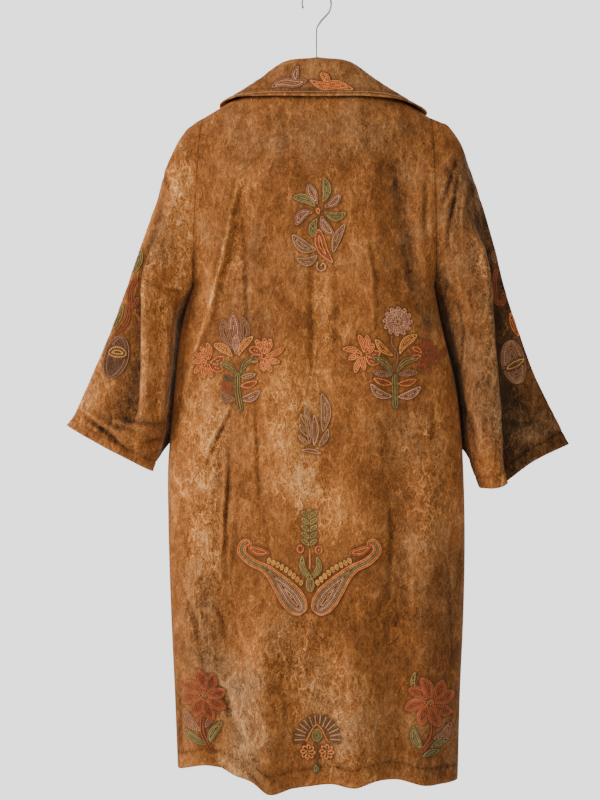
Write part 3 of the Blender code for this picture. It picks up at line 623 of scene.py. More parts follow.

# %% Where the pile lies lighter, darker or greyer, and where light and shade are painted on it
# soft strokes of a half width in pixels: light brightens or darkens, partly for the lie of the pile and
# partly as painted light and shade, such as the shade under the collar and on the right of the skirt; grey
# takes the pile towards grey-brown
Shade = namedtuple("Shade", "half_width light grey line")
BACK_SHADES = [
    Shade(12, 1.4, 0.0, [(322, 240), (322, 330), (318, 420), (300, 500)]),
    Shade(26, 1.6, 0.0, [(285, 380), (290, 460), (330, 520)]),
    Shade(24, 1.05, 0.15, [(200, 400), (196, 500), (204, 560)]),
    Shade(12, 0.70, 0.45, [(222, 420), (212, 470), (206, 560)]),
    Shade(20, -0.30, 0.55, [(200, 575), (205, 640), (212, 680)]),
    # this grey, darker stroke paints the shadowed side of a large fold
    Shade(22, -0.20, 0.75, [(240, 690), (248, 740), (240, 772)]),
    Shade(16, 0.35, 0.0, [(206, 690), (212, 740), (222, 766)]),
    Shade(34, -0.40, 0.25, [(250, 140), (330, 150), (390, 140)]),
    Shade(18, -0.25, 0.1, [(236, 230), (232, 300), (240, 330)]),
    # a thin pale line along the long crease's crest, partly rubbed pile and partly painted highlight
    Shade(2, 0.6, 0.0, [(241, 180), (234, 202), (223, 256), (208, 312), (195, 352), (186, 392)]),
    Shade(8, 1.1, 0.0, [(247, 180), (242, 215), (234, 262)]),
    Shade(16, -0.30, 0.15, [(252, 225), (256, 300), (262, 330)]),
    Shade(14, 0.20, 0.0, [(352, 230), (356, 300)]),
    Shade(9, -0.95, 0.15, [(393, 165), (402, 220), (411, 275), (430, 322)]),
    Shade(26, 0.15, 0.0, [(380, 240), (376, 320)]),
    Shade(24, 0.10, 0.25, [(400, 430), (405, 520), (400, 600)]),
    Shade(18, 0.40, 0.30, [(430, 420), (436, 500), (432, 560)]),
    Shade(34, -0.95, 0.0, [(430, 570), (428, 650), (420, 760)]),
    Shade(16, -0.50, 0.0, [(458, 560), (458, 660), (456, 770)]),
    Shade(38, 0.45, 0.55, [(290, 640), (320, 690), (350, 740)]),
    Shade(14, -0.45, 0.0, [(226, 440), (228, 520), (224, 580)]),
    Shade(10, 0.45, 0.0, [(246, 650), (256, 690), (262, 730)]),
    Shade(12, 0.40, 0.1, [(236, 240), (226, 262), (214, 300)]),
    Shade(20, 0.25, 0.0, [(300, 300), (290, 350)]),
]
# on the sleeves the light strokes are painted light and shade: shadow along the right sleeve's fold and over
# its outer side, and light near the underarm and on the near layer, where the cloth turns away from the lamps
SLEEVE_SHADES = [
    Shade(12, 0.10, 0.35, [(182, 150), (172, 200), (166, 260)]),
    Shade(10, 1.50, 0.35, [(164, 300), (166, 360), (164, 410)]),
    Shade(14, 1.80, 0.1, [(182, 180), (184, 240), (182, 285)]),
    Shade(14, 0.55, 0.3, [(110, 360), (96, 396), (84, 412)]),
    Shade(10, -0.50, 0.0, [(448, 170), (446, 220), (440, 262)]),
    Shade(7, -1.90, 0.0, [(441, 275), (448, 330), (455, 380), (462, 425)]),
    Shade(8, 0.55, 0.1, [(470, 200), (480, 250), (484, 310), (486, 370)]),
    Shade(30, -1.2, 0.3, [(470, 180), (478, 300), (486, 420)]),
    Shade(14, 0.45, 0.35, [(500, 420), (520, 430), (545, 428)]),
    Shade(8, 0.35, 0.2, [(470, 400), (482, 440), (488, 470)]),
]
print(len(BACK_SHADES) + len(SLEEVE_SHADES), "soft shades placed by hand")


# %% Reading the creases at a place
def strokes_at(u, v, rows, value, widened=1.0):
    """The sum of soft strokes at places of the photograph, each strongest along the middle of its line."""
    total = np.zeros_like(u)
    for row in rows:
        line = np.array(row.line, float)
        runs = np.linalg.norm(np.diff(line, axis=0), axis=1)
        length, before = runs.sum(), 0.0
        nearest, along = np.full_like(u, 1e9), np.zeros_like(u)
        for start, end, run in zip(line[:-1], line[1:], runs):
            way = (end - start) / run
            t = np.clip((u - start[0]) * way[0] + (v - start[1]) * way[1], 0, run)
            away = np.hypot(u - start[0] - way[0] * t, v - start[1] - way[1] * t)
            closer = away < nearest
            nearest = np.where(closer, away, nearest)
            along = np.where(closer, (before + t) / length, along)
            before += run
        faded = np.sqrt(np.clip(4 * along * (1 - along), 0, 1)) if value == "rise" else 1
        total += getattr(row, value) * faded * bell(nearest, 0, row.half_width * widened)
    return total


def crease_relief(u, v, creases):
    """The creases' height in metres."""
    return CREASE_DEPTH * strokes_at(u, v, creases, "rise", CREASE_WIDENED)


CRESTS_PER_METRE = 34
CREST_BEND = 1.6
ROUGHNESS, FINER, OCTAVES, OFFSET, GAIN = 0.9, 2.1, 3, 1.0, 2.0


def crushed_relief(points, seed, long_way=0.45):
    """A field from about -1 to 1 with sharp crests, drawn out downwards as hanging cloth creases."""
    shift = Vector((seed * 3.1, seed * 1.7, seed * 2.3))
    heights = []
    for x, y, z in points.reshape(-1, 3) * CRESTS_PER_METRE:
        place = Vector((x, y, z * long_way)) + shift
        bend = noise.noise(place * 0.6) * CREST_BEND
        place = Vector((place.x + bend, place.y, place.z + bend * 0.7))
        heights.append(noise.ridged_multi_fractal(place, ROUGHNESS, FINER, OCTAVES, OFFSET, GAIN))
    out = np.reshape(heights, points.shape[:-1])
    return np.clip((out - out.mean()) / (2.2 * out.std()), -1.2, 1.2)


first_rise = crease_relief(np.array(223.0), np.array(256.0), BACK_CREASES[:1])
print("the first crease rises", first_rise.round(5), "m")


# %% [markdown]
# ## Cloth as a mesh
#
# Each piece is a grid whose points are moved to the formula's places. It is pushed in and out by the
# creases, square to the cloth, and gets its thickness from Solidify. The inner side takes a second material,
# the plain woven back of the velvet. Each point also keeps three fields as attributes, so that the colour
# of the pile can follow the shape: nap is how far a crease lifts it, with painted highlight on crests and the
# hem's roll and painted shade in furrows; light is how the pile lies, together with painted light and shade
# such as the shadows in the slits and beside the sleeves' folds; and grey is where it is worn to a
# grey-brown.

# %% From rows of points to a sheet
def normals_of(points):
    """The way that each point of a grid faces, from its neighbours."""
    down = np.gradient(points, axis=0)
    across = np.gradient(points, axis=1)
    face = np.cross(down, across)
    return face / np.maximum(np.linalg.norm(face, axis=-1, keepdims=True), 1e-9)


def make_sheet(name, points, fields, tube=False, centred=False, flip=False):
    """A wall of cloth over a grid of points, with the fields of its pile kept as attributes."""
    rows, columns = points.shape[:2]
    deselect_all()
    bpy.ops.mesh.primitive_grid_add(x_subdivisions=columns - 1, y_subdivisions=rows - 1, size=2)
    sheet = bpy.context.active_object
    sheet.name = name
    sheet.data.name = name
    flat = np.empty(len(sheet.data.vertices) * 3, np.float32)
    sheet.data.vertices.foreach_get("co", flat)
    flat = flat.reshape(-1, 3)
    j = np.rint((flat[:, 0] + 1) / 2 * (columns - 1)).astype(int)
    i = np.rint((flat[:, 1] + 1) / 2 * (rows - 1)).astype(int)
    sheet.data.vertices.foreach_set("co", points[i, j].astype(np.float32).ravel())
    for field, values in fields.items():
        written = sheet.data.attributes.new(field, "FLOAT", "POINT")
        written.data.foreach_set("value", values[i, j].astype(np.float32))
    sheet.data.update()
    bpy.ops.object.mode_set(mode="EDIT")
    bpy.ops.mesh.select_all(action="SELECT")
    if tube:
        bpy.ops.mesh.remove_doubles(threshold=1e-5)
    if flip:
        bpy.ops.mesh.flip_normals()
    bpy.ops.object.mode_set(mode="OBJECT")
    wall = sheet.modifiers.new("wall", "SOLIDIFY")
    wall.thickness = WALL
    wall.offset = 0 if centred else -1
    wall.use_even_offset = False
    wall.material_offset = 1
    bpy.ops.object.modifier_apply(modifier=wall.name)
    sheet.data.shade_smooth()
    triangles = sum(len(face.vertices) - 2 for face in sheet.data.polygons)
    print(f"{name}: {triangles} triangles")
    return sheet


print("each sheet is a wall of", 1000 * WALL, "mm")


# %% [markdown]
# ## The body panels
#
# The back carries most of the creases, so it has the finest grid. Nothing moves at the side seams, the
# shoulder seams and the neckline, where the panels meet, and the cloth under the collar stays flat. The hem
# is turned up once: a soft roll at the edge and a slight furrow where the turned edge ends inside.

# %% Back and fronts
HEM_TURN = 0.026
HEM_ROLL, ROLL_SPREAD = 0.0007, 0.006
HEM_FURROW, FURROW_SPREAD = 0.0011, 0.0028
CRUSH = 0.0007
SEAM_SPREAD = 0.014
# how strongly each kind of relief shows in the nap: the creases and the hem as painted highlight on crests
# and painted shade in furrows, the crushing and the seams in the pile's own tone
CREASE_HIGHLIGHT_AND_SHADE, HEM_HIGHLIGHT_AND_SHADE, NAP_OF_CRUSH, NAP_OF_SEAM = 500, 900, 0.25, 0.8
# the front takes over the back's creases and shades, drawn together by this share
FRONT_SPREAD = 0.97


def hem_relief(drop_left):
    """A roll at the edge and a furrow at the turn, by the length of cloth left below a place."""
    return HEM_ROLL * bell(drop_left, 0, ROLL_SPREAD) - HEM_FURROW * bell(drop_left, HEM_TURN, FURROW_SPREAD)


def nap_and_shade_of(creased, hem, crush, seam):
    """How the nap stands out: lighter on crests, as rubbed pile and painted highlight, and on the hem's roll
    as painted highlight; darker in furrows and at the hem's turn as painted shade, and at seams.
    """
    return creased * CREASE_HIGHLIGHT_AND_SHADE + hem * HEM_HIGHLIGHT_AND_SHADE + crush * NAP_OF_CRUSH - NAP_OF_SEAM * seam


def body_sheet(name, face, columns, rows, seed):
    length = np.linspace(0, 1, rows) ** 1.06
    share, length = np.meshgrid(columns, length)
    points = body_point(share, length, face)
    u, v = seen(points)
    if face == "front":
        u, v = MIDDLE_U - points[..., 0] / PIXEL * FRONT_SPREAD, ZERO_V - points[..., 2] / PIXEL
    crush = crushed_relief(points, seed)
    part = np.abs(share)
    still = (1 - part**10) * ramp(length, 0.012, 0.06)
    if face == "front":
        still = still * ramp(part, 0, 0.05)
    creased = crease_relief(u, v, BACK_CREASES)
    relief = (CRUSH * crush + creased) * still
    hem = hem_relief((1 - length) * (HEM_DROP - TIP_DROP))
    relief = relief + hem * (1 - part**10)
    points[..., 1] += FACE_SIGN[face] * relief
    # light holds the lie of the pile with painted light and shade; the nap holds painted highlight and shade
    fields = {value: strokes_at(u, v, BACK_SHADES, value) for value in ("light", "grey")}
    fields["nap"] = nap_and_shade_of(creased, hem, crush, bell(part, 1, SEAM_SPREAD))
    return make_sheet(name, points, fields, flip=face == "front")


half = np.linspace(0, 1, 76) ** 0.94
back = body_sheet("coat_back", "back", np.concatenate([-half[::-1], half[1:]]), 312, seed=1)
half = np.linspace(0, 1, 76)
front_left = body_sheet("coat_front_left", "front", half, 300, seed=2)
front_right = body_sheet("coat_front_right", "front", np.append(-half[:0:-1], -1e-9), 300, seed=3)


# %% Sleeves
SLEEVE_LENGTH = 0.55
# painted shadow in the slit and beside the deep fold, painted shade under the fold on the right sleeve and a
# little painted light there on the left, and the painted highlight along the fold's edge with its grey
SHADOW_IN_SLIT = 6.0
SHADOW_BESIDE_FOLD = {"left": 3.0, "right": 1.2}
SHADE_UNDER_FOLD = {"left": -0.3, "right": 1.9}
EDGE_HIGHLIGHT, EDGE_HIGHLIGHT_GREY = 0.45, 0.5


def sleeve_sheet(name, side, seed):
    turns = np.concatenate([np.linspace(0, 0.5, 96), np.linspace(0.5, 1, 62)[1:]])
    if side == "left":
        turns = turns[::-1]
    turn, length = np.meshgrid(turns, np.linspace(0, 1, 132))
    points = sleeve_point(turn, length, side)
    points[:, -1] = points[:, 0]
    crush = crushed_relief(points, seed)
    crush[:, -1] = crush[:, 0]
    u, v = seen(points)
    at_back = ramp(np.sin(2 * math.pi * turn), -0.05, 0.1)
    creased = crease_relief(u, v, SLEEVE_CREASES) * at_back
    relief = (CRUSH * crush + creased) * ramp(length, 0, 0.05)
    cuff = hem_relief((1 - length) * SLEEVE_LENGTH)
    relief = relief + cuff
    face = normals_of(points)
    face[:, -1] = face[:, 0]
    out = face * np.sign((face * (points - points.mean(axis=1, keepdims=True))).sum(-1)[:, :1])[..., None]
    points = points + out * relief[..., None]
    points[:, -1] = points[:, 0]
    nap = nap_and_shade_of(creased, cuff, crush, bell(length, 0, SEAM_SPREAD))
    # painted shadow on the cloth that closes the slit beside the body
    slit_shadow = bell(turn, 0.54, 0.035) * ramp(turn, 0.495, 0.52)
    rows = SLEEVES[side]
    folded = smooth(length, np.linspace(0, 1, len(rows) + 1), [0] + column(rows, "fold"))
    folded = np.clip(folded, 0, 1) * (turn < 0.5)
    # painted light and shade round the deep fold: shadow on the outer layer beside its edge, a highlight
    # along the edge, and shade or light over the outer layer under it
    near = bell(np.minimum(2 * turn, 0.33), 0.33, 0.09) * (1 - ramp(2 * turn, 0.44, 0.54))
    edge = bell(2 * turn, 0.60, 0.07)
    under = 1 - ramp(2 * turn, 0.34, 0.46)
    # how far round towards the front the strokes' painted light and shade reach
    shown = ramp(np.sin(2 * math.pi * turn), -0.45, 0.15)
    # the light field: the strokes' painted light and shade, the slit's painted shadow and the fold's painted
    # light and shade
    light = strokes_at(u, v, SLEEVE_SHADES, "light") * shown - SHADOW_IN_SLIT * slit_shadow
    light = light + (EDGE_HIGHLIGHT * edge - SHADOW_BESIDE_FOLD[side] * near - SHADE_UNDER_FOLD[side] * under) * folded
    grey = strokes_at(u, v, SLEEVE_SHADES, "grey") * shown + EDGE_HIGHLIGHT_GREY * edge * folded
    return make_sheet(name, points, {"nap": nap, "light": light, "grey": grey}, tube=True)


sleeve_left = sleeve_sheet("coat_sleeve_left", "left", seed=4)
sleeve_right = sleeve_sheet("coat_sleeve_right", "right", seed=5)


# %% Collar
COLLAR_CRUSH, COLLAR_DIP = 0.0006, 0.0003
STITCHING_AT, STITCHING_SPREAD, STITCHING_DIP = 0.9, 0.02, 0.0007
STITCHING_SHADE = 1200


def collar_sheet():
    stand, roll, leaf = np.linspace(0, 0.34, 14), np.linspace(0.34, 0.5, 14), np.linspace(0.5, 1, 34)
    across = np.concatenate([stand, roll[1:], leaf[1:]])
    stations = np.linspace(-1, 1, 181)
    points = np.stack([collar_line(float(around), across) for around in stations], axis=1)
    crush = crushed_relief(points, 6, long_way=1.0)
    share = across[:, None]
    shown = ramp(share, 0.44, 0.6) * ramp(1 - np.abs(stations)[None, :], 0, 0.04)
    relief = COLLAR_CRUSH * crush * shown
    stitched = -STITCHING_DIP * bell(share, STITCHING_AT, STITCHING_SPREAD) * shown
    face = normals_of(points)
    outwards = np.where((face[..., 1] * points[..., 1]) < 0, -1, 1)
    points = points + face * ((np.maximum(relief, -COLLAR_DIP) + stitched) * outwards)[..., None]
    # the stitching's dip is painted darker as shade, and the pile is lighter along the collar's edge
    nap = crush * 0.35 + stitched * STITCHING_SHADE + 0.9 * bell(share, 1, 0.03)
    fields = {"nap": nap, "light": 0.1 * crush - 0.15, "grey": 0 * crush + 0.15}
    return make_sheet("coat_collar", points, fields, centred=True, flip=True)


collar = collar_sheet()

# %% [markdown]
# ## Velvet
#
# Pile that stands up drinks the light and shows a deep rust. Where it is crushed it lies over and throws the
# light back, in short pale strokes and wide caramel clouds, and in the furrows it goes grey-brown. So the
# colour is mixed from the nap that the mesh keeps, with painted highlight on crests and painted shade in
# furrows, from the painted light and shade that the mesh keeps with the lie of the pile, from clouds of two
# sizes, and from fine strokes that run mostly downwards. Round the stitches the pile is darker, partly
# pressed and partly painted shadow. A fine bump stands for the pile, and sheen gives its soft bright rim.

# %% Helpers for node materials
def node(tree, kind, inputs=(), **settings):
    """A shader node, whose inputs take plain values or what other nodes give."""
    made = tree.nodes.new("ShaderNode" + kind)
    for key, value in settings.items():
        setattr(made, key, value)
    for key, value in dict(inputs).items():
        if isinstance(value, bpy.types.NodeSocket):
            tree.links.new(value, made.inputs[key])
        else:
            made.inputs[key].default_value = value
    return made


def stretched(tree, scale, turn=(0, 0, 0)):
    """Object coordinates in metres, multiplied by scale on each axis."""
    place = node(tree, "TexCoord").outputs["Object"]
    return node(tree, "Mapping", {"Vector": place, "Scale": scale, "Rotation": turn}).outputs["Vector"]


def mesh_field(tree, name):
    """One of the fields that the mesh keeps at its points."""
    return node(tree, "Attribute", attribute_name=name).outputs["Fac"]


def noise_field(tree, vector, scale, detail=3.0, roughness=0.55, distortion=0.0):
    """Cloudy noise from 0 to 1, with scale as the number of clouds in a metre."""
    inputs = dict(Vector=vector, Scale=scale, Detail=detail, Roughness=roughness, Distortion=distortion)
    return node(tree, "TexNoise", inputs).outputs["Fac"]


def banded(tree, source, low, high):
    """A soft step from 0 at low to 1 at high."""
    inputs = {"Value": source, "From Min": low, "From Max": high}
    return node(tree, "MapRange", inputs, interpolation_type="SMOOTHSTEP").outputs["Result"]


def times(tree, source, amount):
    return node(tree, "Math", {0: source, 1: amount}, operation="MULTIPLY").outputs[0]


def blend(tree, amount, under, over):
    """Lays the colour over on the colour under, by an amount that may vary."""
    under, over = ((*colour, 1) if isinstance(colour, tuple) else colour for colour in (under, over))
    return node(tree, "Mix", {"Factor": amount, 6: under, 7: over}, data_type="RGBA").outputs[2]


def bump(tree, height, strength, distance, below=None):
    """Fine relief of a height in metres, on top of any relief below it."""
    made = node(tree, "Bump", {"Height": height, "Strength": strength, "Distance": distance})
    if below is not None:
        tree.links.new(below, made.inputs["Normal"])
    return made.outputs["Normal"]


def finished(made, colour, normal):
    """The material with its colour and its relief joined to the shader."""
    links, shader = made.node_tree.links, made.node_tree.nodes["Principled BSDF"]
    links.new(colour, shader.inputs["Base Color"])
    links.new(normal, shader.inputs["Normal"])
    return made


print("fields and blends for materials are ready")


# %% Crushed velvet and its woven back
# the pile from its darkest painted shadow, in the slits and beside the folds, to its palest crest, as stops
# of a ramp
PILE_RAMP = [
    (0.00, (0.010, 0.004, 0.002)),
    (0.09, (0.045, 0.016, 0.005)),
    (0.24, (0.115, 0.039, 0.010)),
    (0.42, (0.215, 0.073, 0.018)),
    (0.58, (0.355, 0.122, 0.029)),
    (0.76, (0.590, 0.222, 0.054)),
    (1.00, (0.800, 0.410, 0.155)),
]
GREY_PILE = (0.380, 0.220, 0.104)
DARK_GREY_PILE = (0.046, 0.023, 0.010)
PRESSED_PILE_AND_SHADOW = (0.085, 0.036, 0.014)
VELVET_SHINE = {
    "Sheen Weight": 0.10,
    "Sheen Roughness": 0.4,
    "Sheen Tint": (1.0, 0.72, 0.48, 1),
    "Specular IOR Level": 0.08,
}


def weighed(tree, parts, start):
    """Adds fields, each less its middle and times its weight, to a start value."""
    total = start - sum(middle * weight for _, middle, weight in parts)
    for source, _, weight in parts:
        total = node(tree, "Math", {0: source, 1: weight, 2: total}, operation="MULTIPLY_ADD").outputs[0]
    return total


def crumples(tree, vector, scale, warp):
    """Crushed cloth: the tone of each small facet, and the thin crests between facets."""
    wander = node(tree, "TexNoise", {"Vector": vector, "Scale": scale * 0.55, "Detail": 3})
    inputs = {0: wander.outputs["Color"], 1: (warp, warp, warp), 2: vector}
    moved = node(tree, "VectorMath", inputs, operation="MULTIPLY_ADD").outputs[0]
    inputs = {"Vector": moved, "Scale": scale}
    facets = node(tree, "TexVoronoi", inputs, feature="F1").outputs["Color"]
    crests = node(tree, "TexVoronoi", inputs, feature="DISTANCE_TO_EDGE").outputs["Distance"]
    return node(tree, "SeparateColor", {0: facets}).outputs[0], banded(tree, crests, 0.10, 0.0)


def velvet():
    made = plain_material("crushed_velvet", (0.36, 0.128, 0.030), 0.85, VELVET_SHINE)
    tree = made.node_tree
    nap, light, grey, pressed_and_shadowed = (mesh_field(tree, name) for name in ("nap", "light", "grey", "pressed_and_shadowed"))
    even = stretched(tree, (1, 1, 1))
    hanging = stretched(tree, (1, 1, 0.6))
    slanted = stretched(tree, (1, 1, 0.45), (0, math.radians(38), 0))
    clouds = noise_field(tree, even, 9, detail=2, roughness=0.5)
    patches = noise_field(tree, hanging, 42, detail=3, roughness=0.75, distortion=0.5)
    strokes = noise_field(tree, hanging, 190, detail=3, roughness=0.9, distortion=1.3)
    cross = noise_field(tree, slanted, 130, detail=3, roughness=0.8, distortion=1.2)
    facets, crests = crumples(tree, hanging, 70, 0.030)
    wide_facets, wide_crests = crumples(tree, slanted, 34, 0.050)
    broken = banded(tree, noise_field(tree, slanted, 60, detail=1), 0.47, 0.62)
    crinkles = times(tree, crests, broken)
    wide = times(tree, wide_crests, banded(tree, noise_field(tree, even, 40, detail=1), 0.45, 0.6))
    pile = noise_field(tree, even, 900, detail=1, roughness=0.5)
    crushed = banded(tree, weighed(tree, [(light, 0.0, 0.3), (grey, 0.0, 1.0)], 0.1), 0.1, 0.9)
    fields = [
        (clouds, 0.5, 0.22),
        (patches, 0.5, 0.28),
        (strokes, 0.5, 0.80),
        (cross, 0.5, 0.45),
        (pile, 0.5, 0.50),
        (facets, 0.5, 0.085),
        (wide_facets, 0.5, 0.05),
        (crinkles, 0.15, 0.12),
        (wide, 0.15, 0.08),
        (times(tree, crinkles, crushed), 0.1, 0.20),
        (times(tree, wide, crushed), 0.1, 0.12),
        (times(tree, weighed(tree, [(strokes, 0.5, 0.7), (pile, 0.5, 0.7)], 0.0), crushed), 0.0, 0.9),
        # the nap with its painted highlight and shade, and the lie of the pile with painted light and shade
        (nap, 0.0, 0.14),
        (light, 0.0, 0.115),
    ]
    tone = weighed(tree, fields, 0.50)
    ramp_node = node(tree, "ValToRGB")
    stops = ramp_node.color_ramp.elements
    while len(stops) < len(PILE_RAMP):
        stops.new(0.5)
    for stop, (place, colour) in zip(stops, PILE_RAMP):
        stop.position = place
        stop.color = (*colour, 1)
    tree.links.new(tone, ramp_node.inputs["Fac"])
    colour = ramp_node.outputs["Color"]
    greyed = blend(tree, banded(tree, tone, 0.02, 0.78), DARK_GREY_PILE, GREY_PILE)
    parts = [(grey, 0.0, 0.55), (patches, 0.5, 1.0), (clouds, 0.5, 0.8), (light, 0.0, -0.12)]
    worn = banded(tree, weighed(tree, parts, 0.07), 0.0, 0.9)
    colour = blend(tree, times(tree, worn, 0.75), colour, greyed)
    # darker round the stitches: pressed pile and painted shadow
    colour = blend(tree, times(tree, pressed_and_shadowed, 0.6), colour, PRESSED_PILE_AND_SHADOW)
    shaped = bump(tree, patches, 0.35, 0.0040)
    for height, strength, distance in (
        (crinkles, 0.5, 0.0012),
        (strokes, 0.6, 0.0020),
        (cross, 0.45, 0.0018),
        (pile, 0.4, 0.0004),
    ):
        shaped = bump(tree, height, strength, distance, shaped)
    return finished(made, colour, shaped)


def woven_back():
    made = plain_material("woven_back", (0.20, 0.115, 0.055), 0.9)
    tree = made.node_tree
    even = stretched(tree, (1, 1, 1))
    thread = {"Vector": even, "Scale": 260, "Distortion": 1.0}
    ways = [node(tree, "TexWave", thread, bands_direction=way).outputs["Fac"] for way in "XZ"]
    weave = times(tree, *ways)
    clouds = noise_field(tree, even, 25, detail=3)
    colour = blend(tree, banded(tree, clouds, 0.3, 0.7), (0.15, 0.08, 0.036), (0.24, 0.145, 0.075))
    colour = blend(tree, times(tree, weave, 0.3), colour, (0.36, 0.24, 0.14))
    return finished(made, colour, bump(tree, weave, 0.4, 0.0004))


VELVET, WOVEN_BACK = velvet(), woven_back()
CLOTH = (back, front_left, front_right, sleeve_left, sleeve_right, collar)
for sheet in CLOTH:
    sheet.data.materials.append(VELVET)
    sheet.data.materials.append(WOVEN_BACK)
print("velvet is on", len(CLOTH), "pieces")

# %% [markdown]
# ## Embroidery
#
# The flowers, leaves and paisleys are worked in chain stitch: rows of small linked loops that follow the
# outline of each petal and fill it inwards. So each motif is a short list of petals, leaves and stems, drawn
# as a curve from root to tip with a half width. Rows of stitches are laid along it at a constant pitch, and
# each stitch is one small link of thread, copied onto the finished cloth along the line of sight. What is
# listed first lies in front, and later leaves leave out the stitches that it would cover.

# %% One link of chain stitch
STITCH_STEP = 0.0036
STITCH_LENGTH = 0.0044
STITCH_WIDTH = 0.0026
STITCH_HEIGHT = 0.0013
STITCH_SINK = 0.0002
STITCH_CLEAR = 0.0019
RUNNING_SIZE = 0.6
ROW_PITCH = 0.0027


def chain_link():
    """A loop of thread about one unit long: wide at its foot and pinched where the next one starts."""
    deselect_all()
    bpy.ops.mesh.primitive_circle_add(vertices=6, radius=0.5, fill_type="NGON")
    link = bpy.context.active_object
    bpy.ops.object.mode_set(mode="EDIT")
    bpy.ops.mesh.select_all(action="SELECT")
    bpy.ops.mesh.extrude_region_move(TRANSFORM_OT_translate={"value": (0, 0, 1)})
    bpy.ops.transform.resize(value=(0.58, 0.7, 1))
    bpy.ops.mesh.poke(offset=-0.5)
    bpy.ops.mesh.select_all(action="SELECT")
    bpy.ops.mesh.normals_make_consistent(inside=False)
    bpy.ops.object.mode_set(mode="OBJECT")
    corners = np.array([corner.co for corner in link.data.vertices])
    corners[:, 0] *= 1 - 0.5 * corners[:, 1]
    faces = [tuple(face.vertices) for face in link.data.polygons]
    bpy.data.objects.remove(link)
    return corners, faces


LINK_CORNERS, LINK_FACES = chain_link()
print("a link has", sum(len(face) - 2 for face in LINK_FACES), "triangles")

# %% The flowers on the back
# threads from the outer row inwards, half width in pixels, shape, and points from root to tip
Leaf = namedtuple("Leaf", "threads half_width shape line")
Flower = namedtuple("Flower", "threads half_width centre tips heart")


def petals(flower):
    """A flower's petals, with a small disc of another thread in its middle."""
    u, v = flower.centre
    if flower.heart:
        yield Leaf(flower.heart, 2.2, "disc", [(u, v - 2.4), (u, v + 2.4)])
    for tip_u, tip_v in flower.tips:
        way_u, way_v = tip_u - u, tip_v - v
        middle = (u + way_u * 0.5 - way_v * 0.09, v + way_v * 0.5 + way_u * 0.09)
        yield Leaf(flower.threads, flower.half_width, "petal", [(u, v), middle, (tip_u, tip_v)])


def ring_of_tips(centre, reach, count, start=0.0):
    """The tips of a round flower."""
    turns = [start + 2 * math.pi * k / count for k in range(count)]
    return [(centre[0] + reach * math.sin(turn), centre[1] - reach * math.cos(turn)) for turn in turns]


UPPER_FLOWER = [
    Leaf("orange", 2.4, "disc", [(318, 208), (318.5, 214)]),
    Leaf("olive green", 4.6, "petal", [(317, 208), (306, 199), (292.4, 197.2)]),
    Leaf("mauve pink", 5.4, "petal", [(318, 206), (313, 195), (308, 183.5)]),
    Leaf("olive green", 4.4, "petal", [(322, 204), (327, 192), (324.5, 177.5)]),
    Leaf("mauve pink", 4.6, "petal", [(323, 208), (333, 203), (341, 193)]),
    Leaf("olive green", 4.6, "petal", [(323, 211), (335, 217), (346.5, 213)]),
    Leaf("mauve pink", 5.0, "petal", [(321, 214), (325, 226), (334, 235)]),
    Leaf("olive green", 4.2, "petal", [(318, 217), (313, 227), (313.5, 238)]),
    Leaf("mauve pink", 5.0, "petal", [(315, 212), (303, 214), (296, 226)]),
    Leaf("pink", 1.4, "stem", [(318, 262), (317, 268), (322, 271), (326, 267), (323, 263), (321, 266)]),
    Leaf("orange rust", 5.6, "drop", [(318.5, 229), (322, 248), (334, 264)]),
    Leaf("tan mauve", 6.0, "leaf", [(317, 250), (304, 247), (292, 234)]),
    Leaf("tan mauve", 4.4, "leaf", [(318, 255), (308, 262), (296, 258.5)]),
    Leaf("tan mauve", 4.4, "leaf", [(333, 254), (337, 238), (346, 223)]),
]
LEFT_BOUQUET = [
    Leaf("green olive", 3.0, "stem", [(237.8, 372.7), (238, 392), (241.3, 411)]),
    Leaf("green olive", 3.2, "leaf", [(238.3, 375.5), (227.6, 364.8), (215.4, 362.8)]),
    Leaf("green olive", 3.0, "leaf", [(239.7, 374.7), (249, 360.5), (261, 359.3)]),
    Leaf("ochre orange", 4.6, "petal", [(234, 358), (226, 350), (213.3, 344)]),
    Leaf("ochre orange", 3.8, "petal", [(238, 358), (243, 346), (254, 336)]),
    Leaf("pink", 4.4, "petal", [(237, 356), (236, 345), (236, 334)]),
    Leaf("mauve", 5.6, "petal", [(236, 352), (226, 335), (223, 318)]),
    Leaf("mauve", 5.6, "petal", [(238, 352), (245, 335), (243, 316)]),
    Leaf("mauve pink", 6.0, "petal", [(237, 356), (234, 330), (233, 311)]),
    Leaf("rust", 3.8, "leaf", [(221, 382), (228, 388), (236, 387)]),
    Leaf("mauve", 4.6, "leaf", [(220, 391), (227, 398), (236, 400)]),
    Leaf("brown", 3.0, "leaf", [(224, 375), (230, 379), (236, 380)]),
    Leaf("tan", 3.0, "leaf", [(240, 377), (249, 376), (257, 374)]),
    Leaf("orange rust", 3.6, "leaf", [(240, 386), (249, 385), (258, 381)]),
    Leaf("pink mauve", 4.4, "leaf", [(240, 399), (250, 398), (261, 390)]),
]
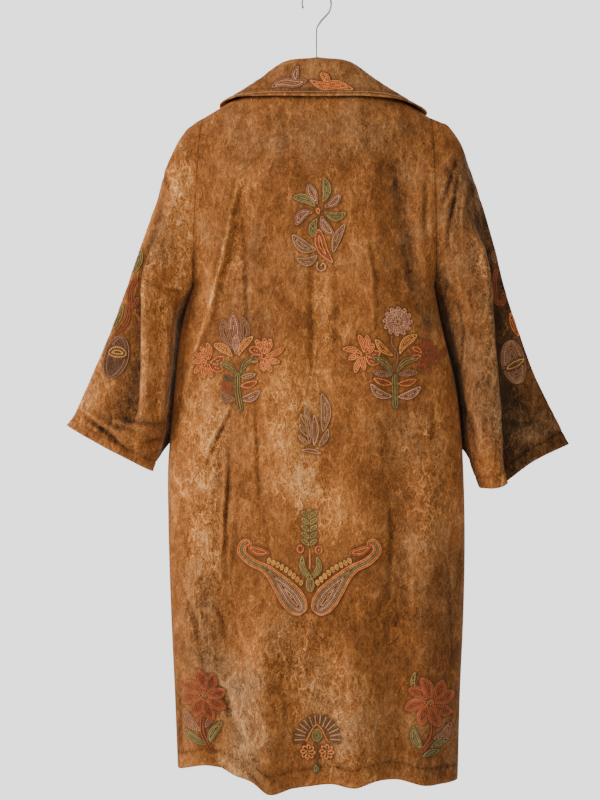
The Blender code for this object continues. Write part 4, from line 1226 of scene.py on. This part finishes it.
RIGHT_BOUQUET = [
    Leaf("green olive", 3.0, "stem", [(394.7, 373.5), (395, 392), (395.5, 408.7)]),
    Leaf("green olive", 3.8, "leaf", [(393.2, 374.7), (384.7, 362.4), (371.5, 357.4)]),
    Leaf("green olive", 3.2, "leaf", [(396, 373.7), (405.4, 361.4), (420.2, 358.9)]),
    Leaf("mauve", 1.0, "stem", [(392, 336), (391.6, 343), (397.7, 353.6), (396.2, 367.3)]),
    Leaf("ochre orange", 4.6, "petal", [(399, 356), (405, 343), (418, 334.5)]),
    Leaf("ochre orange", 3.8, "petal", [(395, 357), (384, 350), (375, 338.5)]),
    Leaf("mauve", 3.6, "leaf", [(372, 371), (382, 374), (393, 375)]),
    Leaf("orange rust", 3.6, "leaf", [(373, 378), (382, 382), (393, 384)]),
    Leaf("pink mauve", 4.4, "leaf", [(370.5, 383), (378, 393), (393, 397)]),
    Leaf("mauve", 3.6, "leaf", [(398, 375), (409, 373), (419, 372)]),
    Leaf("orange rust", 3.6, "leaf", [(397, 384), (408, 383), (417.5, 379)]),
    Leaf("pink mauve", 4.4, "leaf", [(397, 397), (410, 395), (422, 386)]),
]
CENTRE_LEAVES = [
    Leaf("tan pink", 3.6, "leaf", [(309.5, 446), (309, 425), (304.5, 405)]),
    Leaf("pink mauve", 3.6, "leaf", [(314, 447), (315.5, 432), (314, 413)]),
    Leaf("tan mauve", 5.4, "leaf", [(323, 433), (326, 410), (321.5, 392)]),
    Leaf("tan mauve", 3.4, "leaf", [(318, 447), (324, 440), (329, 428)]),
    Leaf("tan", 2.6, "leaf", [(309, 428), (305, 420), (300, 413)]),
    Leaf("tan", 2.6, "leaf", [(308, 437), (303, 430), (299, 423)]),
    Leaf("tan", 2.6, "leaf", [(309, 445), (303, 440), (298, 434)]),
    Leaf("pink mauve", 2.4, "leaf", [(300, 450), (312, 451), (323, 454)]),
]
LEFT_TIPS = [(207, 342), (200, 346), (194, 354), (192, 363), (194, 374), (204, 379), (213, 378)]
LEFT_INNER_TIPS = [(264, 337), (271, 338), (285, 347), (281, 362), (273, 372), (265, 372), (255, 339)]
RIGHT_INNER_TIPS = [(358, 334), (367, 334), (374, 343), (342, 349), (348, 360), (355, 374), (365, 371)]
RIGHT_TIPS = [(420, 338), (429, 338), (436, 346), (448, 350), (440, 361), (430, 373), (420, 368)]
BACK_FLOWERS = [
    Flower("orange", 3.4, (209, 362), LEFT_TIPS, ""),
    Flower("orange rust", 4.6, (209, 362.5), [(225, 357), (224, 370)], ""),
    Flower("orange", 3.4, (263.5, 356), LEFT_INNER_TIPS, ""),
    Flower("orange rust", 4.6, (264, 356), [(248.5, 349), (250, 362)], ""),
    Flower("orange", 3.4, (364.5, 355), RIGHT_INNER_TIPS, ""),
    Flower("orange rust", 4.4, (365, 355), [(381, 352), (379, 364)], ""),
    Flower("rust", 3.4, (426, 356), RIGHT_TIPS, ""),
    Flower("rust orange", 4.4, (425, 356), [(410, 347), (410, 360)], ""),
]
print("petals and leaves on the upper back:", sum(map(len, (UPPER_FLOWER, LEFT_BOUQUET, RIGHT_BOUQUET))))

# %% The paisleys and the flowers of the skirt
PAISLEY_MIRROR = 619
PAISLEY = [(253, 545), (245, 543), (241.5, 550), (249, 560), (266, 569), (284, 588), (304, 614)]
CURL_LEAF = [(247, 545), (257, 551), (271, 553)]
SCALLOP_LINE = [(268, 562), (285, 571), (300, 584)]
SCALLOPS = 9


def mirrored(line):
    return [(PAISLEY_MIRROR - u, v) for u, v in line]


def paisley_pair():
    """Two paisleys whose tips curl outwards, with a feathered leaf and a vase between them."""
    scallops = []
    for t in np.linspace(0, 1, SCALLOPS):
        u, v = (float(smooth(t, [0, 0.5, 1], [point[axis] for point in SCALLOP_LINE])) for axis in (0, 1))
        scallops.append([(u, v + 2.5), (u + 1.2, v - 1), (u + 2, v - 4.5)])
    made = [
        Leaf("olive", 3.4, "leaf", [(302.5, 554), (303, 568), (314, 582)]),
        Leaf("olive", 3.4, "leaf", [(316.7, 555), (319, 568), (308, 581)]),
        Leaf("orange", 1.4, "stem", [(309.6, 549), (310, 560), (310, 569)]),
        Leaf("orange rust", 4.0, "disc", [(300.4, 545), (300.4, 553)]),
        Leaf("orange rust", 4.2, "disc", [(318.8, 546), (318.8, 554)]),
    ]
    for side in (lambda line: line, mirrored):
        made.append(Leaf("brick orange", 4.6, "leaf", side(CURL_LEAF)))
        made.append(Leaf("orange orange green mauve pink mauve tan", 12.5, "paisley", side(PAISLEY)))
        made += [Leaf("ochre", 2.6, "petal", side(line)) for line in scallops]
    for v in (546, 539, 532, 525, 518):
        for way in (-1, 1):
            line = [(309.5, v), (309.5 + 4 * way, v - 4), (309.5 + 8.5 * way, v - 7)]
            made.append(Leaf("olive green", 2.7, "leaf", line))
    made.append(Leaf("olive green", 3.4, "leaf", [(309.5, 520), (309.5, 514), (309.5, 508)]))
    made.append(Leaf("olive mauve", 4.6, "disc", [(310, 577), (310.5, 592)]))
    return made


FAN_CENTRE = (317.8, 738.5)
FAN_PETALS = 29
FAN_SPREAD = 1.12


def fan():
    """A half round of petals over a small dome, with two round flowers under it."""
    u, v = FAN_CENTRE
    made = [
        Leaf("orange", 1.2, "stem", [(306, 741), (317, 724.5), (328, 741)]),
        Leaf("olive green", 5.6, "disc", [(317, 729), (317, 741)]),
        Leaf("brown", 0.8, "stem", [(316.6, 741), (316.4, 753), (316.4, 765)]),
        Leaf("green", 3.0, "disc", [(316.4, 765), (316.4, 772)]),
    ]
    for k in range(FAN_PETALS):
        turn = math.pi * (k / (FAN_PETALS - 1) - 0.5) * FAN_SPREAD
        way = math.sin(turn), -math.cos(turn)
        line = [(u + way[0] * reach, v + way[1] * reach) for reach in (13, 18, 23)]
        made.append(Leaf(("brown", "tan")[k % 2], 1.3, "petal", line))
    return made


SKIRT_LEAVES = [
    Leaf("rust", 2.2, "stem", [(203, 714), (202, 730), (212, 752)]),
    Leaf("mauve", 5.2, "leaf", [(201, 731), (190, 722), (184, 707)]),
    Leaf("mauve", 3.0, "leaf", [(205, 728), (210, 720), (214, 716)]),
    Leaf("green", 3.8, "leaf", [(207, 745), (194, 738), (184, 728)]),
    Leaf("green olive", 4.4, "leaf", [(208, 745), (212, 734), (223, 721)]),
    Leaf("rust", 2.0, "stem", [(432, 718), (432, 735), (421, 753)]),
    Leaf("green olive", 4.8, "leaf", [(423, 751), (415, 738), (413, 725)]),
    Leaf("green", 3.4, "leaf", [(430, 748), (440, 742), (450, 738)]),
    Leaf("green", 3.0, "leaf", [(422, 757), (432, 752), (441, 750)]),
    Leaf("mauve", 5.0, "leaf", [(433, 739), (444, 735), (451, 721)]),
    Leaf("olive", 2.6, "leaf", [(418, 692), (413, 684), (416, 670)]),
]
LEFT_SKIRT_TIPS = [(196, 669), (213, 673), (226, 690), (227, 708)]
LEFT_SKIRT_TIPS += [(214, 720), (196, 717), (181, 703), (180, 684)]
RIGHT_SKIRT_TIPS = [(421, 677), (443, 679), (454, 690), (453, 712)]
RIGHT_SKIRT_TIPS += [(440, 727), (421, 726), (404, 710), (408, 689)]
SKIRT_FLOWERS = [
    Flower("brick brick rust", 6.2, (204.9, 694.3), LEFT_SKIRT_TIPS, "green"),
    Flower("brick brick rust", 6.2, (430.7, 702.6), RIGHT_SKIRT_TIPS, "green"),
    Flower("orange", 2.4, (308, 751.8), ring_of_tips((308, 751.8), 8.2, 8), "green"),
    Flower("orange", 2.4, (326.9, 751.8), ring_of_tips((326.9, 751.8), 8.2, 8), "green"),
]
PINK_FLOWER = Flower("pink", 3.4, (397.7, 321.4), ring_of_tips((397.7, 321.4), 15.5, 12), "mauve")
print("petals of the two large skirt flowers:", len(LEFT_SKIRT_TIPS) + len(RIGHT_SKIRT_TIPS))

# %% The collar and the sleeves
STITCHED_EDGE = [(236, 95.4), (258, 92.6), (300, 91.8), (350, 91.8), (385, 93.6), (404, 98.2)]
COLLAR_LEAVES = [
    Leaf("mauve pink", 4.8, "leaf", [(270, 88), (283, 82.5), (296, 83.5), (309, 80)]),
    Leaf("mauve pink", 4.0, "leaf", [(296, 83), (295.5, 74), (298.5, 65.5)]),
    Leaf("orange", 4.2, "leaf", [(328, 85), (326, 78), (320, 73)]),
    Leaf("orange", 5.0, "leaf", [(309, 79.5), (321, 85.5), (338, 85), (355, 90.5)]),
    Leaf("tan", 0.4, "run", STITCHED_EDGE),
]
LEFT_SLEEVE_LEAVES = [
    Leaf("rust", 2.6, "stem", [(138, 277), (133, 284), (130, 295), (132, 306), (137, 303), (137, 297)]),
    Leaf("olive green", 4.4, "leaf", [(142, 248), (139, 260), (132, 276)]),
    Leaf("olive green", 3.0, "leaf", [(124, 303), (119, 318), (112, 331)]),
    Leaf("rust", 3.2, "leaf", [(129, 302), (127, 320), (113, 337)]),
    Leaf("brown ochre", 7.5, "disc", [(108, 353), (117, 352), (127, 355)]),
    Leaf("mauve brown mauve brown", 12.5, "disc", [(121, 336), (117, 356), (109, 378)]),
]
RIGHT_SLEEVE_LEAVES = [
    Leaf("rust", 2.6, "stem", [(497, 268), (495, 278), (495, 292), (498, 303), (503, 303), (503, 292)]),
    Leaf("mauve", 3.0, "leaf", [(493.5, 250), (494, 257), (495.4, 264)]),
    Leaf("orange", 3.0, "leaf", [(510, 311), (513, 325), (520, 338)]),
    Leaf("brown ochre", 5.0, "leaf", [(503, 371), (514, 365), (528, 357)]),
    Leaf("mauve mauve tan mauve", 12.5, "disc", [(510, 340), (513, 361), (519, 384)]),
]
MOTIFS = {
    "back": (
        UPPER_FLOWER
        + list(petals(PINK_FLOWER))
        + LEFT_BOUQUET
        + RIGHT_BOUQUET
        + [leaf for flower in BACK_FLOWERS for leaf in petals(flower)]
        + CENTRE_LEAVES
        + paisley_pair()
        + fan()
        + [leaf for flower in SKIRT_FLOWERS for leaf in petals(flower)]
        + SKIRT_LEAVES
    ),
    "collar": COLLAR_LEAVES,
    "sleeve_left": LEFT_SLEEVE_LEAVES,
    "sleeve_right": RIGHT_SLEEVE_LEAVES,
}
print({place: len(leaves) for place, leaves in MOTIFS.items()})


# %% Rows of stitches along a leaf
PAISLEY_PROFILE = [(0, 0), (0.04, 0.36), (0.4, 0.36), (0.55, 0.55), (0.68, 0.83), (0.8, 1), (0.9, 0.92)]
PAISLEY_PROFILE += [(0.96, 0.65), (0.99, 0.35), (1, 0)]


def half_widths(t, shape):
    """The share of its half width that a leaf has along its line, for each shape."""
    if shape == "leaf":
        return np.sin(math.pi * t) ** 0.8
    if shape == "petal":
        return np.sin(math.pi * t**1.3) ** 0.8
    if shape == "drop":
        return np.sin(math.pi * t**0.75) ** 0.8
    if shape == "disc":
        return np.sqrt(np.clip(1 - (2 * t - 1) ** 2, 0, 1))
    if shape == "paisley":
        return np.interp(t, *zip(*PAISLEY_PROFILE))
    return np.sqrt(np.clip(np.minimum(t, 1 - t) / 0.06, 0, 1))


def leaf_rows(leaf):
    """Lines of stitches in pixels: round the outline, then inwards row by row, each with its thread."""
    line = np.array(leaf.line, float)
    knots = np.append(0, np.cumsum(np.linalg.norm(np.diff(line, axis=0), axis=1)))
    t = np.linspace(0, 1, 61)
    axis = np.stack([smooth(t * knots[-1], knots, line[:, k]) for k in range(2)], axis=1)
    way = np.gradient(axis, axis=0)
    way /= np.linalg.norm(way, axis=1, keepdims=True)
    aside = np.stack([-way[:, 1], way[:, 0]], axis=1)
    width = leaf.half_width * half_widths(t, leaf.shape)
    threads = leaf.threads.split()
    pitch = ROW_PITCH / PIXEL
    if leaf.half_width < 0.9 * pitch:
        yield threads[0], axis
        return
    inset, row = pitch / 2, 0
    while inset < leaf.half_width:
        kept = np.flatnonzero(width > inset)
        if len(kept) > 2:
            out = (width[kept] - inset)[:, None] * aside[kept]
            thread = threads[min(row, len(threads) - 1)] if len(threads) > 2 else threads[row % len(threads)]
            if leaf.half_width - inset < pitch / 2:
                yield thread, axis[kept]
            else:
                loop = np.concatenate([axis[kept] + out, (axis[kept] - out)[::-1]])
                yield thread, np.concatenate([loop, loop[:1]])
        inset, row = inset + pitch, row + 1


def even_steps(line, step):
    """The line again, with points a constant step apart."""
    runs = np.append(0, np.cumsum(np.linalg.norm(np.diff(line, axis=0), axis=1)))
    count = max(2, int(round(runs[-1] / step)) + 1)
    at = np.linspace(0, runs[-1], count)
    return np.stack([np.interp(at, runs, line[:, k]) for k in range(2)], axis=1)


def stitches_of(leaves):
    """Each stitch as its thread, its two ends in pixels and its size, without those that others cover."""
    made, placed = [], np.empty((0, 2))
    for leaf in leaves:
        size = RUNNING_SIZE if leaf.shape == "run" else 1.0
        fresh = []
        for thread, line in leaf_rows(leaf):
            points = even_steps(line, STITCH_STEP * size / PIXEL)
            for start, end in zip(points[:-1], points[1:]):
                middle = (start + end) / 2
                if (np.hypot(*(placed - middle).T) < STITCH_CLEAR / PIXEL).any():
                    continue
                made.append((thread, start, end, size))
                fresh.append(middle)
        if fresh:
            placed = np.concatenate([placed, fresh])
    return made


STITCHES = {place: stitches_of(leaves) for place, leaves in MOTIFS.items()}
print("stitches:", {place: len(rows) for place, rows in STITCHES.items()})


# %% Threads
# the colour of each thread
THREADS = {
    "orange": (0.910, 0.270, 0.060),
    "rust": (0.400, 0.086, 0.025),
    "brick": (0.560, 0.135, 0.036),
    "mauve": (0.430, 0.190, 0.092),
    "pink": (0.740, 0.350, 0.190),
    "olive": (0.420, 0.295, 0.080),
    "green": (0.260, 0.225, 0.074),
    "ochre": (0.910, 0.420, 0.080),
    "tan": (0.600, 0.315, 0.138),
    "brown": (0.180, 0.082, 0.036),
}
THREAD_SHINE = {"Sheen Weight": 0.1, "Specular IOR Level": 0.25}


def thread_material(name, colour):
    """Twisted cotton: the colour wavers along the thread, fine ridges run across it, and painted shade
    darkens the foot of each link.
    """
    made = plain_material("thread_" + name, colour, 0.62, THREAD_SHINE)
    tree = made.node_tree
    even = stretched(tree, (1, 1, 1))
    waver = noise_field(tree, even, 190, detail=2)
    worn = noise_field(tree, even, 30, detail=2)
    strands = noise_field(tree, even, 2400, detail=1)
    darker = tuple(0.62 * share for share in colour)
    paler = tuple(min(1, 1.25 * share + 0.05) for share in colour)
    mixed = blend(tree, banded(tree, waver, 0.35, 0.62), darker, colour)
    mixed = blend(tree, times(tree, banded(tree, worn, 0.5, 0.75), 0.5), mixed, paler)
    # painted shade: each link is darker at its foot and full colour on its crown, so that the stitches stand
    # apart
    crown = banded(tree, mesh_field(tree, "crown"), -0.1, 0.9)
    mixed = blend(tree, crown, tuple(0.45 * share for share in colour), mixed)
    return finished(made, mixed, bump(tree, strands, 0.5, 0.0003))


THREAD_MATERIALS = {name: thread_material(name, colour) for name, colour in THREADS.items()}
print(len(THREAD_MATERIALS), "threads")


# %% Sew the stitches onto the cloth
def sewn(name, sheet, stitches):
    """One mesh of all the stitches on a sheet, each turned along its row and flat on the cloth."""
    mesh = sheet.data
    cloth = BVHTree.FromPolygons([v.co for v in mesh.vertices], [tuple(p.vertices) for p in mesh.polygons])
    corners, faces, slots, crowns = [], [], [], []
    used = sorted({stitch[0] for stitch in stitches})
    for thread, start, end, size in stitches:
        hits = [cloth.ray_cast(CAMERA, spot(u, v) - CAMERA) for u, v in (start, end)]
        if any(hit[0] is None for hit in hits):
            continue
        (foot, normal, _, _), (head, _, _, _) = hits
        if normal.dot(CAMERA - foot) < 0:
            normal = -normal
        along = head - foot
        if along.length > 3 * STITCH_STEP:
            continue
        along = (along - normal * along.dot(normal)).normalized()
        across = normal.cross(along)
        middle = (foot + head) / 2
        first = len(corners)
        for x, y, z in LINK_CORNERS:
            lift = normal * (z * STITCH_HEIGHT - STITCH_SINK)
            turned = along * (y * STITCH_LENGTH * size) + across * (x * STITCH_WIDTH * size)
            corners.append(middle + turned + lift)
            crowns.append(z)
        faces += [tuple(first + k for k in face) for face in LINK_FACES]
        slots += [used.index(thread)] * len(LINK_FACES)
    mesh = bpy.data.meshes.new(name)
    mesh.from_pydata(corners, [], faces)
    mesh.polygons.foreach_set("material_index", slots)
    # each corner's height in its link, read by the thread material for the painted shade at a link's foot
    crown = mesh.attributes.new("crown", "FLOAT", "POINT")
    crown.data.foreach_set("value", np.array(crowns, np.float32))
    for thread in used:
        mesh.materials.append(THREAD_MATERIALS[thread])
    piece = bpy.data.objects.new(name, mesh)
    bpy.context.scene.collection.objects.link(piece)
    print(f"{name}: {sum(len(face) - 2 for face in faces)} triangles")
    return piece


SHEETS = {"back": back, "collar": collar, "sleeve_left": sleeve_left, "sleeve_right": sleeve_right}
EMBROIDERY = {place: sewn("embroidery_" + place, SHEETS[place], STITCHES[place]) for place in SHEETS}

# %% The pile that the stitches press down, and the shadow painted round them
PRESSED_NEAR = 0.0018
PRESSED_FAR = 0.0038


def mark_pressed(sheet, piece):
    """Keeps on the cloth how near each of its points lies to a stitch, where the pile is pressed and painted
    with shadow.
    """
    tree = KDTree(len(piece.data.vertices))
    for number, corner in enumerate(piece.data.vertices):
        tree.insert(corner.co, number)
    tree.balance()
    away = np.array([tree.find(point.co)[2] for point in sheet.data.vertices])
    pressed_and_shadowed = sheet.data.attributes.new("pressed_and_shadowed", "FLOAT", "POINT")
    pressed_and_shadowed.data.foreach_set("value", (1 - ramp(away, PRESSED_NEAR, PRESSED_FAR)).astype(np.float32))
    print(sheet.name, "has", int((away < PRESSED_NEAR).sum()), "points under stitches")


for place, piece in EMBROIDERY.items():
    mark_pressed(SHEETS[place], piece)

# %% [markdown]
# ## The hanger
#
# The hanger keeps its own solids. Its bar is plain varnished wood, with grain along its length, and its hook
# is bright steel wire with the fine lines of drawing.


# %% Wood and wire
def varnished_wood():
    varnish = {"Coat Weight": 0.25, "Coat Roughness": 0.2}
    made = plain_material("varnished_wood", (0.36, 0.19, 0.08), 0.38, varnish)
    tree = made.node_tree
    along = stretched(tree, (0.08, 1, 1))
    grain = noise_field(tree, along, 420, detail=4, roughness=0.6, distortion=0.5)
    figure = noise_field(tree, along, 70, detail=2, distortion=0.8)
    colour = blend(tree, banded(tree, grain, 0.35, 0.7), (0.22, 0.105, 0.042), (0.42, 0.235, 0.105))
    colour = blend(tree, times(tree, banded(tree, figure, 0.45, 0.6), 0.4), colour, (0.27, 0.13, 0.05))
    return finished(made, colour, bump(tree, grain, 0.15, 0.0002))


def steel_wire():
    made = plain_material("steel_wire", (0.62, 0.63, 0.65), 0.24, {"Metallic": 1.0})
    tree = made.node_tree
    drawn = noise_field(tree, stretched(tree, (1, 1, 0.15)), 2600, detail=1)
    dulled = noise_field(tree, stretched(tree, (1, 1, 1)), 130, detail=3)
    colour = blend(tree, banded(tree, dulled, 0.35, 0.7), (0.66, 0.67, 0.69), (0.47, 0.47, 0.47))
    return finished(made, colour, bump(tree, drawn, 0.12, 0.0001))


def dress_node(name, finish):
    """Gives all of a CAD node's slots one finish."""
    slots = nodes[name].material_slots
    if not slots:
        nodes[name].data.materials.append(finish)
    for slot in slots:
        slot.material = finish
    print(name, "is", finish.name)


dress_node("hanger_bar", varnished_wood())
dress_node("hanger_hook", steel_wire())

# %% Hand the cloth over to the frame
PANELS = {
    "back": (back, (0.52, 1.20), 0.57),
    "front_left": (front_left, (0.27, 1.19), 0.28),
    "front_right": (front_right, (0.27, 1.19), 0.28),
    "sleeve_left": (sleeve_left, (0.40, 0.56), 0.16),
    "sleeve_right": (sleeve_right, (0.42, 0.58), 0.18),
    "collar": (collar, (0.66, 0.16), 0.08),
}
for node_name, (sheet, flat, area) in PANELS.items():
    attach(sheet, "root")
    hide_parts(node_name)
    on_it = [EMBROIDERY[node_name]] if node_name in EMBROIDERY else []
    for piece in on_it:
        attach(piece, "root")
print(len(PANELS), "sheets and", len(EMBROIDERY), "embroideries are handed over")
